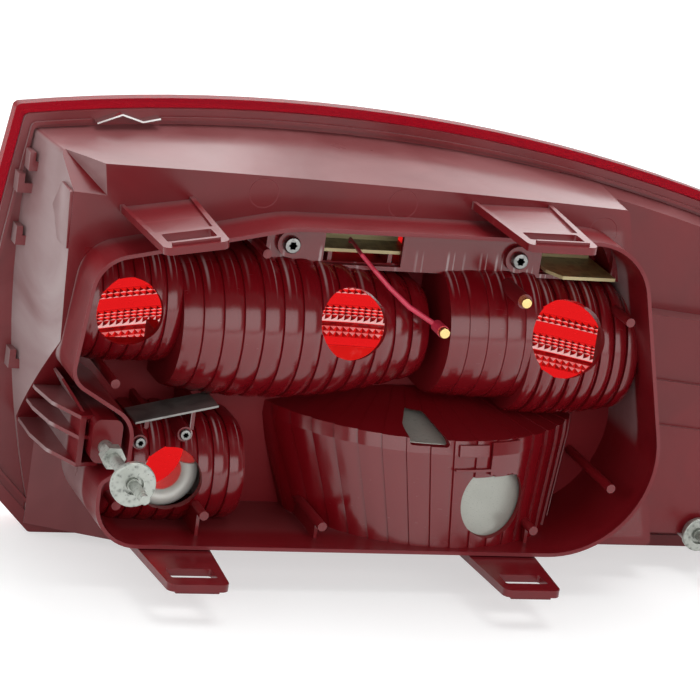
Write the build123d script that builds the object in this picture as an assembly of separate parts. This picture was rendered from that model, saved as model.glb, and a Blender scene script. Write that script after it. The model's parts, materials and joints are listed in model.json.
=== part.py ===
from build123d import *
import os
from dataclasses import dataclass
from math import cos, radians, sin, sqrt, tan

# Tail light cluster with its bulb carrier taken off.
# X runs to the right as seen from behind the lamp, Z up, +Y towards the lens.
# The origin is on the axis of the left fixing stud, where its collar seats on the housing.
# All sizes are millimetres.

# Depths along Y
rim_edge_depth = 14.0
rim_height = 26.0
tub_depth = 62.0
body_depth = 50.0
wing_depth = 18.0
step_depth = 22.0
shelf_depth = 38.0
bowl_axis_depth = 46.0

# Walls of the moulding
wall = 2.6
rim_wall = 1.8
flange_thickness = 4.0
flange_width = 5.5
ridge_offset = 0.3
ridge_width = 1.5
ridge_height = 2.0
cover_top = -20.0
cover_thickness = 2.8
cover_gap = 0.2
wing_draft = 4.0

# Lens outline: an arched top, a leaning outer end with a cut corner, a straight bottom and a bowed inner end
arch_radius = 835.0
arch_top = 138.0
arch_x = 78.0
lamp_left = -54.0
left_end_radius = 1950.0
left_end_z = -162.0
lamp_right = 386.0
right_end_radius = 300.0
right_end_z = 25.0
lamp_bottom = -58.0
corner_cut_x = -7.0
corner_cut_angle = 45.0
lamp_corner = 3.0

# Back wall of the main body
back_left = -23.0
back_left_bottom = -14.0
back_left_top = 127.0
back_right = 250.0
back_right_top = 118.0
back_right_bottom = 291.0
back_bottom = -51.0
back_bow = 1.5
body_corner = 2.5
body_front_left = -32.5
body_front_left_bottom = -12.5
body_front_right = 254.0
body_front_right_bottom = 298.0
body_front_bow = 10.0
body_inset = 1.0
wing_left = 232.0

# Three-sided pocket in the top left corner of the back wall
pocket_corners = [(-10.0, 130.0), (-7.0, 112.0), (-24.5, 113.2), (-34.0, 140.0)]
pocket_apex = (-27.0, 130.5)
pocket_depth = 20.0

# Lower left step round the fixing stud
step_top = 42.0
step_slope_drop = 26.0
step_right = 27.0
step_left = -14.0
step_left_depth = 44.0

# Apron under the step
apron_bottom = -63.5
apron_right = 40.0

# Carrier rim, with the notch that goes round the left stud
rim_left = -15.0
rim_left_bottom = -21.0
rim_shoulder = 89.0
rim_shoulder_corner = 19.0
rim_shoulder_end = 76.0
rim_shoulder_bend = 60.0
rim_top = 109.0
rim_right = 250.0
rim_top_corner = 32.0
rim_right_bottom = 289.0
rim_bottom = -48.5
rim_bottom_corner = 50.0
rim_lip_x = -1.5
rim_lip_corner = 22.0
rim_lip = -17.0
notch_right = 10.6
notch_low = -8.0
notch_bend = 12.5
notch_bend_radius = 14.0
notch_top = 31.0
notch_top_radius = 12.0
notch_corner = 6.0

# Shelf with the LED boards at the top of the tub
shelf_left = 76.0
shelf_bottom = 79.0
window_height = 15.0
window_sill = 2.0
board_thickness = 1.6
board_front_gap = 0.6
left_board_x = 124.0
left_board_width = 50.0
left_board_reach = -3.0
left_board_side_gap = -5.5
left_board_corner = 0.5
left_board_top = 88.0
right_board_x = 232.5
right_board_width = 32.0
right_board_top = 84.0
right_board_reach = 12.0
right_board_side_gap = 2.5
right_board_corner = 5.0
board_rib_width = 2.0
led_width = 3.2
led_height = 1.6
led_depth = 1.8
led_pitch = 7.0
leds_per_board = 5
guide_depth = 18.0
guide_height = 16.0
guide_border = 3.0
guide_slot_height = 10.0

# Screws beside the boards
screw_head_radius = 4.2
screw_head_height = 3.0
screw_radius = 1.6
screw_length = 12.0
screw_boss_radius = 6.5
screw_boss_height = 3.0
screw_socket_radius = 2.0
screw_socket_depth = 0.8
board_screw_places = [(87.0, 90.7), (201.4, 88.3)]

# Contacts
contact_radius = 2.6
contact_height = 3.0
contact_shank_radius = 1.5
contact_shank_length = 6.0
contact_setback = 4.0
contact_post_radius = 3.6
left_contact = (157.5, 60.0)
right_contact = (196.0, 76.4)
lead_thin_radius = 0.9
lead_thick_radius = 1.35
lead_foot = 0.8
lead_collar_radius = 2.9
lead_collar_length = 9.0
lead_route = [(143.0, 20.0, 68.0), (132.5, 19.0, 76.5), (124.5, 17.0, 84.0)]
lead_landing = [(119.0, 12.0), (122.0, -14.0)]

# Bulb holes: the upper ones are square to the chamber's back at a tilt above level
hole_radius_a = 15.9
hole_radius_b = 17.0
hole_radius_c = 18.8
hole_radius_d = 15.3
hole_radius_e = 17.5
hole_a_x = 8.7
hole_a_tilt = 4.0
hole_b_x = 116.8
hole_b_tilt = 18.7
hole_c_x = 224.5
hole_c_tilt = 20.5
hole_d = (39.2, -22.3)
hole_e = (197.5, -25.0)
hole_e_flat = 12.5
shoulder_hole = [(152.0, 1.8), (151.6, 7.4), (157.5, 10.8), (165.5, 10.4), (173.0, 1.8)]
shoulder_hole_corner = 1.5

# Passage between the two upper left chambers
passage_half = 6.0
passage_near = 45.0
passage_bottom = 42.0
passage_top = 74.0

# Flutes of the chambers
flute_step = 0.9
flute_bulge = 0.5
flute_crest = 0.35
ridge_step = 1.6
ridge_bulge = 0.8
fan_step = 0.9
fan_bulge = 0.4

# Reversing chamber, a fan round an upright axis: a foot, a band under the shoulder, the shoulder and a roof
fan_half_angle = 70.0
fan_flutes = 18
fan_x = 177.0
fan_top_x = 174.0
fan_foot_radius = 71.5
fan_foot_depth = 5.5
fan_band = -1.5
fan_band_radius = 85.6
fan_band_depth = 9.9
fan_shoulder = 5.0
fan_shoulder_radius = 86.5
fan_shoulder_depth = 11.5
fan_top = 15.0
fan_top_radius = 40.0
fan_top_depth = 58.0
fan_pad_height = 2.6
fan_pads = [(193.5, 209.0, -11.0, 4.5), (176.0, 191.5, -2.0, 3.5), (175.0, 194.5, -9.2, -8.0)]

# Bright reflectors
foil = 1.2
fog_mouth = 9.6
fog_mouth_depth = 34.0
fog_crown = 13.0
fog_crown_depth = 31.5
fog_side = 17.0
fog_side_depth = 35.5
fog_front = 20.0
fog_cut_height = 5.0
fog_cut_depth = 7.0
fog_plate_side = 34.0
fog_plate_height = 23.0
fog_plate_corner = 6.0
reverse_reflector_gap = 0.6

# Heat shield over the fog chamber
shield_left = (18.0, 5.8)
shield_right = (57.0, 15.3)
shield_sheet = 1.0
shield_near_setback = 18.0
shield_depth = 20.0
shield_lip = 4.0
shield_rib_places = [28.0, 50.0]
shield_rib_width = 2.0
shield_rib_setback = 14.0

# Small screws in the back of the fog chamber
chamber_boss_radius = 3.6
chamber_screw_places = [(21.9, -3.6), (43.2, 1.0)]
chamber_screw_radius = 1.2
chamber_screw_head = 2.8
chamber_screw_height = 1.8
chamber_screw_length = 10.0
chamber_screw_setback = 20.0

# Latch tongues
tongue_length = 68.0
tongue_thickness = 2.4
tongue_corner = 4.0
tongue_slot_length = 11.0
tongue_slot_margin = 9.0
tongue_slot_side = 3.5
tongue_slot_corner = 1.2
tongue_lip = 1.6
tongue_rib = 1.8
tongue_pad = 1.2
tongue_pad_margin = 3.0
tongue_lip_setback = 3.0

# Locating pins in the tub
pin_radius = 2.2
pin_setback = 6.0
pin_fin = 1.6
pin_fin_setback = 8.0
free_pins = [(2.3, 29.0), (66.0, 94.0), (251.0, 68.5), (255.5, -15.2), (10.2, -30.0)]
finned_pins = [(53.2, -34.0), (112.0, -38.0), (219.0, -37.6)]

# Fixing studs
stud_radius = 3.0
stud_length = 53.0
stud_tip_radius = 2.2
stud_tip_length = 4.0
stud_end_radius = 2.5
collar_across_flats = 10.0
collar_height = 6.0
barrel_radius = 3.4
barrel_length = 16.0
stud_boss_radius = 7.0
stud_tail = 18.0
washer_offset = 31.5
washer_radius = 10.5
washer_thickness = 2.6
washer_dish_radius = 4.6
washer_dish_depth = 1.9
thread_clearance = 0.1
right_stud_x = 321.0
right_stud_z = -49.0
right_stud_length = 26.0
right_boss_height = 8.0
right_washer_radius = 8.5

# Bracket of the left stud
bracket_reach = 8.5
bracket_setback = 22.0
bracket_bend = (-20.0, 42.0)
block_left = -6.5
block_right = 7.5
block_bottom = -8.0
block_top = 13.0
block_corner = 4.0
gusset_thickness = 1.8
gusset_heights = [11.5, 1.8, -11.3]
fin_start = (-17.0, 24.0)
fin_thickness = 1.2

# Snap hooks on the left side of the flange
hook_places = [(-29.0, 115.0), (-37.0, 105.0), (-35.0, 80.0), (-31.0, 20.0)]
hook_width = 3.0
hook_length = 8.0
hook_height = 9.0
hook_depth = 8.0

# Raised block on the wing
wing_block_left = 258.0
wing_block_right = 344.0
wing_block_top = 63.0
wing_block_drop = 8.0
wing_block_depth = 12.0
wing_block_corner = 4.0
wing_step_tops = [31.0, 9.0]
wing_step_depth = 2.5

# Spring clip on the top of the body
clip_sheet = 0.8
clip_width = 6.0
clip_left = -4.0
clip_apex = 7.6
clip_dip = 17.8
clip_right = 26.0
clip_rise = 4.5
clip_clearance = 1.5

# Lens
lens_sphere = 750.0
lens_apex = 142.0
lens_wall = 3.0
lens_draft = 20.0
skirt_wall = 4.5
skirt_overlap = 2.5
brow_rise = 1.0
lens_clearance = 0.3
lens_centre_x = 175.0
lens_centre_z = 36.0
seal_width = 4.0
seal_height = 3.0
window_left = 100.0
window_right = 245.0
window_bottom = -36.0
window_top = 8.0
window_corner = 14.0
window_gap = 0.1
reflex_left = 256.0
reflex_right = 340.0
reflex_bottom = -36.0
reflex_top = -12.0
reflex_corner = 3.0
reflex_thickness = 2.8
reflex_gap = 0.1

# Values worked out from the sizes above
rim_y = rim_edge_depth
back_y = rim_edge_depth + rim_height
floor_y = rim_edge_depth + tub_depth
floor_front = floor_y + wall
flange_y = back_y + body_depth
wing_y = flange_y - wing_depth
step_y = back_y + step_depth
shelf_y = rim_edge_depth + shelf_depth
axis_y = rim_edge_depth + bowl_axis_depth
lens_back = flange_y - skirt_overlap
lens_brow = flange_y + seal_height + brow_rise
tongue_tip_y = back_y - tongue_length
pin_tip_y = rim_edge_depth + pin_setback
contact_y = rim_edge_depth + contact_setback
shield_y = rim_edge_depth + shield_near_setback
chamber_screw_y = rim_edge_depth + chamber_screw_setback
right_seat = wing_y - wing_block_depth - right_boss_height
overlap = 1.0


def at_depth(y):
    """Sketch plane seen from behind the lamp: local x is X, local y is Z, normal is -Y."""
    return Plane.XZ.offset(-y)


def slab(outline, near, far):
    """Extrude an outline drawn from behind between two depths."""
    return extrude(at_depth(far) * outline, far - near)


def rounded(corners):
    """Closed outline from (x, z, corner radius) triples."""
    points = [(x, z) for x, z, radius in corners]
    radii = [radius for x, z, radius in corners]
    return make_face(FilletPolyline(*points, radius=radii, close=True))


def plate(left, right, bottom, top, corner=0.0):
    """Rectangle drawn from behind, with rounded corners if a radius is given."""
    centre = Location(((left + right) / 2, (bottom + top) / 2))
    if corner > 0:
        return centre * RectangleRounded(right - left, top - bottom, corner)
    return centre * Rectangle(right - left, top - bottom)


def rod(x, z, radius, near, far):
    """Round bar parallel to Y."""
    return slab(Location((x, z)) * Circle(radius), near, far)


def box(left, right, near, far, bottom, top):
    """Square-edged block between three pairs of planes."""
    return slab(plate(left, right, bottom, top), near, far)


def arch_z(x):
    """Height of the lens outline's arched top above a place along X."""
    return arch_top - arch_radius + sqrt(arch_radius**2 - (x - arch_x) ** 2)


def four_sided(top, right, bottom, left, corner):
    """Outline from four edges, each an arc or a line, with rounded corners."""
    face = make_face([top, right, bottom, left])
    return fillet(face.vertices(), corner)


def disc(x, z, radius):
    """Round outline drawn from behind."""
    return Location((x, z)) * Circle(radius)


def lamp_outline(grow=0.0):
    """Line where the walls of the moulding meet the lens flange, grown outwards by a distance."""
    reach = 4 * arch_top
    outline = disc(arch_x, arch_top - arch_radius, arch_radius + grow)
    outline &= disc(lamp_right - right_end_radius, right_end_z, right_end_radius + grow)
    outline &= disc(lamp_left + left_end_radius, left_end_z, left_end_radius + grow)
    outline &= plate(lamp_left - reach, lamp_right + reach, lamp_bottom - grow, reach)
    corner = Pos(corner_cut_x, lamp_bottom) * Rot(0, 0, corner_cut_angle)
    outline &= corner * Pos(reach / 2 - grow, 0) * Rectangle(reach, 2 * reach)
    return fillet(outline.vertices(), lamp_corner)


def body_section(left_top, right_top, right_bottom, left_bottom, top_mid, left_bow):
    """Cross section of the main body with a bowed top and a bowed left side."""
    left_mid = (
        (left_top[0] + left_bottom[0]) / 2 - left_bow,
        (left_top[1] + left_bottom[1]) / 2,
    )
    return four_sided(
        ThreePointArc(left_top, top_mid, right_top),
        Line(right_top, right_bottom),
        Line(right_bottom, left_bottom),
        ThreePointArc(left_bottom, left_mid, left_top),
        body_corner,
    )


def body_front():
    """Main body where it meets the flange: its top follows the arch of the lens outline."""
    top_mid_x = (body_front_left + body_front_right) / 2
    return body_section(
        (body_front_left, arch_z(body_front_left) - body_inset),
        (body_front_right, arch_z(body_front_right) - body_inset),
        (body_front_right_bottom, lamp_bottom + body_inset),
        (body_front_left_bottom, lamp_bottom + body_inset),
        (top_mid_x, arch_z(top_mid_x) - body_inset),
        body_front_bow,
    )


def body_back():
    """Main body at its back wall."""
    top_mid = ((back_left + back_right) / 2, (back_left_top + back_right_top) / 2 + back_bow)
    return body_section(
        (back_left, back_left_top),
        (back_right, back_right_top),
        (back_right_bottom, back_bottom),
        (back_left_bottom, back_bottom),
        top_mid,
        back_bow,
    )


def rim_outline():
    """Outer line of the carrier rim."""
    return rounded(
        [
            (rim_left, rim_shoulder, rim_shoulder_corner),
            (rim_shoulder_end, rim_top, rim_shoulder_bend),
            (rim_right, rim_top, rim_top_corner),
            (rim_right_bottom, rim_bottom, rim_bottom_corner),
            (rim_lip_x, rim_bottom, rim_lip_corner),
            (rim_lip_x, rim_lip, notch_corner),
            (notch_right, notch_low, notch_corner),
            (notch_right, notch_bend, notch_bend_radius),
            (rim_left_bottom, notch_top, notch_top_radius),
        ]
    )


def corner_pocket(clearance):
    """Three-sided pocket in the top left corner of the back wall, grown by a clearance."""
    near = back_y - overlap
    far = back_y + pocket_depth + 2 * clearance
    stretch = (far - near) / (far - back_y) * (1 + clearance / pocket_depth)
    corners = [
        (pocket_apex[0] + stretch * (x - pocket_apex[0]), pocket_apex[1] + stretch * (z - pocket_apex[1]))
        for x, z in pocket_corners
    ]
    mouth = at_depth(near) * make_face(Polyline(*corners, close=True))
    return loft([mouth, Vertex(pocket_apex[0], far, pocket_apex[1])])


def stud_step(clearance):
    """Room round the left stud: sloped ceiling, floor deeper to the left, grown by a clearance."""
    near = back_y - overlap
    far = back_y + step_left_depth + clearance
    top = step_top + clearance
    right = step_right + clearance
    drop = step_slope_drop * (far - back_y - clearance) / step_depth
    side = Plane.YZ.offset(lamp_left - 3 * wall)
    profile = make_face(
        Polyline(
            (near, top),
            (back_y + clearance, top),
            (far, top - drop),
            (far, lamp_bottom - 3 * wall),
            (near, lamp_bottom - 3 * wall),
            close=True,
        )
    )
    room = extrude(side * profile, right - lamp_left + 3 * wall)
    plan = make_face(
        Polyline(
            (lamp_left - 3 * wall, near),
            (right, near),
            (right, step_y + clearance),
            (step_left + clearance, far),
            (lamp_left - 3 * wall, far),
            close=True,
        )
    )
    return room & extrude(Plane.XY.offset(2 * lamp_bottom) * plan, 2 * arch_top)


def apron():
    """Lower edge of the body under the step, in line with the step's floor."""
    far = lens_back - cover_gap - overlap
    plan = make_face(
        Polyline(
            (step_left, back_y + step_left_depth),
            (step_right, step_y),
            (apron_right, step_y),
            (apron_right, far),
            (step_left, far),
            close=True,
        )
    )
    return extrude(Plane.XY.offset(apron_bottom) * plan, lamp_bottom + 3 * wall - apron_bottom)


def main_body():
    """Tapered main body and its hollow, which opens at the flange."""
    front, back = body_front(), body_back()
    outer = loft([at_depth(flange_y) * front, at_depth(back_y) * back], ruled=True)
    outer -= [stud_step(0), corner_pocket(0)]
    inner_front = at_depth(flange_y + overlap) * offset(front, -wall)
    inner_back = at_depth(back_y + wall) * offset(back, -wall)
    inner = loft([inner_front, inner_back], ruled=True) - stud_step(wall) - corner_pocket(wall)
    return outer, inner


def wing_tray():
    """Shallow tray that carries the lens past the right side of the main body, and its hollow."""
    side = box(wing_left, lamp_right + arch_top, wing_y, flange_y, 2 * lamp_bottom, 2 * arch_top)
    outer_back = at_depth(wing_y) * lamp_outline(-wing_draft)
    outer = loft([at_depth(flange_y) * lamp_outline(), outer_back], ruled=True) & side
    inner_front = at_depth(flange_y + overlap) * lamp_outline(-wall)
    inner_back = at_depth(wing_y + wall) * lamp_outline(-wing_draft - wall)
    inner = loft([inner_front, inner_back], ruled=True)
    inner -= box(lamp_left - arch_top, wing_left + wall, 0, 2 * flange_y, 2 * lamp_bottom, 2 * arch_top)
    return outer, inner


def lens_flange():
    """Plate that carries the lens, with a ridge on its back and a lip behind the lower part of the skirt."""
    back = flange_y - flange_thickness
    flange = slab(lamp_outline(flange_width), back, flange_y)
    ridge = lamp_outline(ridge_offset + ridge_width) - lamp_outline(ridge_offset)
    ridge -= plate(clip_left - clip_clearance, clip_right + clip_clearance, 0, 2 * arch_top)
    cover = lamp_outline(flange_width + lens_clearance + skirt_wall) - lamp_outline(flange_width - overlap)
    cover &= plate(lamp_left - arch_top, lamp_right + arch_top, 2 * lamp_bottom, cover_top)
    pieces = [slab(ridge, back - ridge_height, back + overlap)]
    pieces.append(slab(cover, lens_back - cover_thickness, lens_back - cover_gap))
    return flange + pieces


def shell_of_body():
    """Main body, wing tray and lens flange as one open-fronted moulding, and the body's solid and hollow."""
    body, hollow = main_body()
    wing, wing_hollow = wing_tray()
    return body + wing + lens_flange() + apron() - hollow - (wing_hollow - body), body, hollow


@dataclass
class Barrel:
    """Reflector chamber shaped as half a barrel that lies along X, with a skirt to the tub floor.

    The three radii are those of its left end, middle and right end, and its flutes overlap like tiles.
    """

    left: float
    right: float
    height: float
    left_radius: float
    middle_radius: float
    right_radius: float
    flutes: int
    step: float
    bulge: float

    def radius(self, x):
        """Barrel radius at a place along X, on the curve through the three given radii."""
        share = (x - self.left) / (self.right - self.left)
        bend = 2 * (self.left_radius + self.right_radius) - 4 * self.middle_radius
        slope = self.right_radius - self.left_radius - bend
        return self.left_radius + share * slope + share**2 * bend

    def fluted_profile(self):
        """Half section with overlapping flutes, each a bulged tile that is higher at its left edge."""
        pitch = (self.right - self.left) / self.flutes
        last = (self.left, 0)
        edges = []
        for number in range(self.flutes):
            near = self.left + number * pitch
            crest = near + flute_crest * pitch
            far = near + pitch
            top = (near, self.radius(near))
            edges.append(Line(last, top))
            last = (far, self.radius(far) - self.step)
            edges.append(ThreePointArc(top, (crest, self.radius(crest) + self.bulge), last))
        return make_face(edges + [Polyline(last, (self.right, 0), (self.left, 0))])

    def smooth_profile(self, inset):
        """Smooth half section that lies inside the fluted one by an inset."""
        middle = (self.left + self.right) / 2
        left, right = self.left + wall, self.right - wall
        crown = ThreePointArc(
            (left, self.radius(left) - inset),
            (middle, self.radius(middle) - inset),
            (right, self.radius(right) - inset),
        )
        return make_face([crown, Polyline(crown @ 1, (right, 0), (left, 0), crown @ 0)])

    def turned(self, profile, front):
        """Turn a half section round the barrel's axis and run its outline forward to a depth."""
        middle = (0, axis_y, self.height)
        upper = Plane(middle, x_dir=(1, 0, 0), z_dir=(0, -1, 0)) * profile
        lower = mirror(upper, Plane(middle, x_dir=(1, 0, 0), z_dir=(0, 0, 1)))
        skirt = extrude(upper + lower, front - axis_y, dir=(0, 1, 0))
        return revolve(upper, Axis(middle, (1, 0, 0)), 180) + skirt

    def outside(self):
        """Solid bounded by the fluted outside."""
        return self.turned(self.fluted_profile(), floor_front)

    def inside(self):
        """Solid that hollows the chamber out, through the tub floor."""
        return self.turned(self.smooth_profile(wall + self.step), floor_front + overlap)

    def hole(self, x, tilt, radius):
        """Round bar from the axis outwards through the back, at a tilt above level."""
        outwards = (0, -cos(radians(tilt)), sin(radians(tilt)))
        place = Plane((x, axis_y, self.height), x_dir=(1, 0, 0), z_dir=outwards)
        return extrude(place * Circle(radius), self.middle_radius + radius / 2)


def fan_face(level, step):
    """Level section of the reversing chamber: an arc, or a row of stepped flutes, round an upright axis."""
    z, x, y, radius = level
    front = rim_y + fan_top_depth + fan_top_radius + overlap

    def spot(share, reach):
        angle = radians((2 * share - 1) * fan_half_angle)
        return (x + reach * sin(angle), y - reach * cos(angle))

    count = fan_flutes if step else 1
    edges = []
    for number in range(count):
        start, end = number / count, (number + 1) / count
        crest = start + (end - start) * (flute_crest if step else 0.5)
        rise = fan_bulge + step * (1 - flute_crest) if step else 0
        if step and number:
            edges.append(Line(spot(start, radius), spot(start, radius + step)))
        high, low = spot(start, radius + step), spot(end, radius)
        edges.append(ThreePointArc(high, spot(crest, radius + rise), low))
    left, right = spot(0, radius + step), spot(1, radius)
    edges.append(Polyline(right, (right[0], front), (left[0], front), left))
    return Plane.XY.offset(z) * make_face(edges)


def fan_solid(inset, step=0.0):
    """Reversing chamber's foot, band, shoulder and roof joined by straight sides, less an inset."""
    sill = rim_bottom + rim_wall
    levels = [
        (sill - overlap, fan_x, rim_y + fan_foot_depth + fan_foot_radius, fan_foot_radius - inset),
        (fan_band, fan_top_x, rim_y + fan_band_depth + fan_band_radius, fan_band_radius - inset),
        (
            fan_shoulder - max(inset, 0),
            fan_top_x,
            rim_y + fan_shoulder_depth + fan_shoulder_radius,
            fan_shoulder_radius - inset,
        ),
        (fan_top - max(inset, 0), fan_top_x, rim_y + fan_top_depth + fan_top_radius, fan_top_radius - inset),
    ]
    return loft([fan_face(level, step) for level in levels], ruled=True)


def reversing_chamber():
    """Outside and hollow of the reversing chamber, which stands on the tub's bottom wall."""
    sill = rim_bottom + rim_wall
    raised = fan_solid(-fan_pad_height)
    outside = fan_solid(0, fan_step)
    outside += [raised & box(left, right, rim_y, floor_y, low, high) for left, right, low, high in fan_pads]
    inside = fan_solid(wall)
    return outside, inside & box(rim_left, rim_right_bottom, rim_y, floor_front + overlap, sill, fan_top)


def shelf():
    """Raised strip of the tub floor that carries the LED boards, and the room behind it."""
    solid = box(shelf_left, rim_right_bottom, shelf_y, floor_front, shelf_bottom, rim_top)
    room = box(
        shelf_left + wall,
        rim_right_bottom,
        shelf_y + wall,
        floor_y,
        shelf_bottom + wall,
        rim_top - rim_wall - wall,
    )
    return solid, room & slab(offset(rim, -rim_wall - wall), rim_y, floor_front)


@dataclass
class Board:
    """LED board that lies level in a window of the shelf, on two ribs."""

    middle: float
    width: float
    top: float
    reach: float
    side_gap: float
    corner_cut: float

    @property
    def left(self):
        return self.middle - self.width / 2

    @property
    def right(self):
        return self.middle + self.width / 2

    @property
    def front(self):
        return floor_front - board_front_gap

    def solid(self):
        """Board with one rear corner cut off."""
        rear = shelf_y - self.reach
        corners = [
            (self.left, self.front),
            (self.right, self.front),
            (self.right, rear),
            (self.left + self.corner_cut, rear),
            (self.left, rear + 2 * self.corner_cut),
        ]
        outline = make_face(Polyline(*corners, close=True))
        return extrude(Plane.XY.offset(self.top) * outline, -board_thickness)

    def window(self):
        """Opening in the shelf that the board comes out of."""
        sill = shelf_bottom + window_sill
        return box(
            self.left - self.side_gap,
            self.right + self.side_gap,
            shelf_y - overlap,
            shelf_y + wall + overlap,
            sill,
            sill + window_height,
        )

    def ribs(self):
        """Ribs on the room's floor that the board lies on."""
        under = self.top - board_thickness
        places = (self.left + self.width / 5, self.right - self.width / 5)
        half = board_rib_width / 2
        return [box(x - half, x + half, shelf_y + wall, floor_front, shelf_bottom, under) for x in places]

    def leds(self):
        """Row of light emitting diodes along the front edge."""
        row = []
        for number in range(leds_per_board):
            x = self.middle + (number - (leds_per_board - 1) / 2) * led_pitch
            left, right = x - led_width / 2, x + led_width / 2
            row.append(box(left, right, self.front - led_depth, self.front, self.top, self.top + led_height))
        return Compound(children=row)


@dataclass
class Tongue:
    """Flat latch tongue that reaches back from the body, with a slot and a raised tip."""

    x: float
    z: float
    root_width: float
    tip_width: float
    tilt: float
    outward: int

    def solid(self):
        root_y = back_y + 2 * wall
        half_root, half_tip = self.root_width / 2, self.tip_width / 2
        path = FilletPolyline(
            (-half_root, root_y),
            (-half_tip, tongue_tip_y),
            (half_tip, tongue_tip_y),
            (half_root, root_y),
            radius=[tongue_corner, tongue_corner],
        )
        outline = make_face([path, Line(path @ 1, path @ 0)])
        slot_y = tongue_tip_y + tongue_slot_margin + tongue_slot_length / 2
        slot_width = self.tip_width - 2 * tongue_slot_side
        slot = Location((0, slot_y)) * RectangleRounded(slot_width, tongue_slot_length, tongue_slot_corner)
        tongue = extrude(outline - slot, tongue_thickness / 2, both=True)
        pad_y = tongue_tip_y + tongue_slot_margin + tongue_slot_length + tongue_pad_margin
        recess = make_face(
            Polyline(
                (tongue_rib - half_root, root_y + overlap),
                (tongue_rib - half_tip, pad_y),
                (half_tip - tongue_rib, pad_y),
                (half_root - tongue_rib, root_y + overlap),
                close=True,
            )
        )
        raised = outline - recess - slot
        tongue += extrude(raised, self.outward * (tongue_thickness / 2 + tongue_pad))
        lip_y = tongue_tip_y + tongue_lip_setback
        lip = Location((0, lip_y, self.outward * (tongue_thickness / 2 + tongue_pad))) * Box(
            self.tip_width - 2 * tongue_corner, tongue_lip, 2 * tongue_lip
        )
        return Location((self.x, 0, self.z)) * Rot(0, -self.tilt, 0) * (tongue + lip)


def locating_pins():
    """Slender pins that stand on the tub floor, three of them on fins from the bottom wall."""
    pins = [rod(x, z, pin_radius, pin_tip_y, floor_front) for x, z in free_pins + finned_pins]
    for x, z in finned_pins:
        fin = pin_fin / 2
        fin_near = pin_tip_y + pin_fin_setback
        pins.append(box(x - fin, x + fin, fin_near, floor_y + overlap, rim_bottom + overlap, z))
    return pins


def stud_bracket():
    """Block that holds the left stud, with its web, three gussets and a fin from the body."""
    foot = back_y + step_left_depth + overlap
    block = slab(plate(block_left, block_right, block_bottom, block_top, block_corner), barrel_length, foot)
    low, high = gusset_heights[-1], gusset_heights[0]
    web = box(-bracket_reach - wall, -bracket_reach, bracket_setback, foot, low, high)
    pieces = [block, web]
    for z in gusset_heights:
        outline = make_face(
            Polyline(
                (0, bracket_setback + wall),
                (-bracket_reach - wall, bracket_setback),
                bracket_bend,
                (back_left, back_y + step_depth),
                (back_left, foot),
                (0, foot),
                close=True,
            )
        )
        pieces.append(extrude(Plane.XY.offset(z) * outline, gusset_thickness / 2, both=True))
    run = Vector(fin_start[0], 0, fin_start[1])
    side = Plane((0, 0, 0), x_dir=run, z_dir=run.cross(Vector(0, 1, 0)))
    fin = Polyline((0, barrel_length), (run.length, back_y), (run.length, foot), (0, foot), close=True)
    pieces.append(extrude(side * make_face(fin), fin_thickness / 2, both=True))
    return pieces


def flange_hooks():
    """Snap hooks along the left side of the lens flange: a post, and a tooth on its tip's lower half."""
    far = flange_y - flange_thickness + overlap
    near = far - overlap - hook_depth
    hooks = []
    for x, z in hook_places:
        low, high = z - hook_height / 2, z + hook_height / 2
        left = x - hook_width / 2
        hooks.append(box(left, left + hook_width, near, far, low, high))
        hooks.append(box(left, left + hook_length, near, near + hook_width, low, z))
    return hooks


def wing_block():
    """Raised part of the wing's back in three steps, and the hollow behind it."""
    near = wing_y - wing_block_depth
    bottom = lamp_bottom + 2 * wing_draft
    tops = [wing_block_top] + wing_step_tops
    steps = []
    for number, top in enumerate(tops):
        outline = rounded(
            [
                (wing_block_left, top, wing_block_corner),
                (wing_block_right, top - wing_block_drop, wing_block_corner),
                (wing_block_right, bottom, wing_block_corner),
                (wing_block_left, bottom, wing_block_corner),
            ]
        )
        steps.append(slab(outline, near - number * wing_step_depth, wing_y + overlap))
        if number == 0:
            hollow = slab(offset(outline, -wall), near + wall, wing_y + wall + overlap)
    return steps[0] + steps[1:], hollow


rim = rim_outline()
chamber_a = Barrel(
    left=-12.0,
    right=34.0,
    height=57.0,
    left_radius=27.0,
    middle_radius=28.0,
    right_radius=27.0,
    flutes=6,
    step=flute_step,
    bulge=flute_bulge,
)
chamber_b = Barrel(
    left=34.0,
    right=158.0,
    height=49.0,
    left_radius=31.0,
    middle_radius=34.5,
    right_radius=22.0,
    flutes=13,
    step=flute_step,
    bulge=flute_bulge,
)
chamber_c_smooth = Barrel(
    left=165.0,
    right=212.0,
    height=50.0,
    left_radius=31.0,
    middle_radius=32.5,
    right_radius=32.0,
    flutes=5,
    step=flute_step / 2,
    bulge=flute_bulge / 2,
)
chamber_c_ridged = Barrel(
    left=206.0,
    right=264.0,
    height=45.0,
    left_radius=33.0,
    middle_radius=33.5,
    right_radius=29.0,
    flutes=8,
    step=ridge_step,
    bulge=ridge_bulge,
)
chamber_d = Barrel(
    left=5.0,
    right=76.0,
    height=-23.0,
    left_radius=25.0,
    middle_radius=26.5,
    right_radius=24.0,
    flutes=9,
    step=flute_step,
    bulge=flute_bulge,
)
barrels = [chamber_a, chamber_b, chamber_c_smooth, chamber_c_ridged, chamber_d]
boards = {
    "left": Board(
        middle=left_board_x,
        width=left_board_width,
        top=left_board_top,
        reach=left_board_reach,
        side_gap=left_board_side_gap,
        corner_cut=left_board_corner,
    ),
    "right": Board(
        middle=right_board_x,
        width=right_board_width,
        top=right_board_top,
        reach=right_board_reach,
        side_gap=right_board_side_gap,
        corner_cut=right_board_corner,
    ),
}
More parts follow.
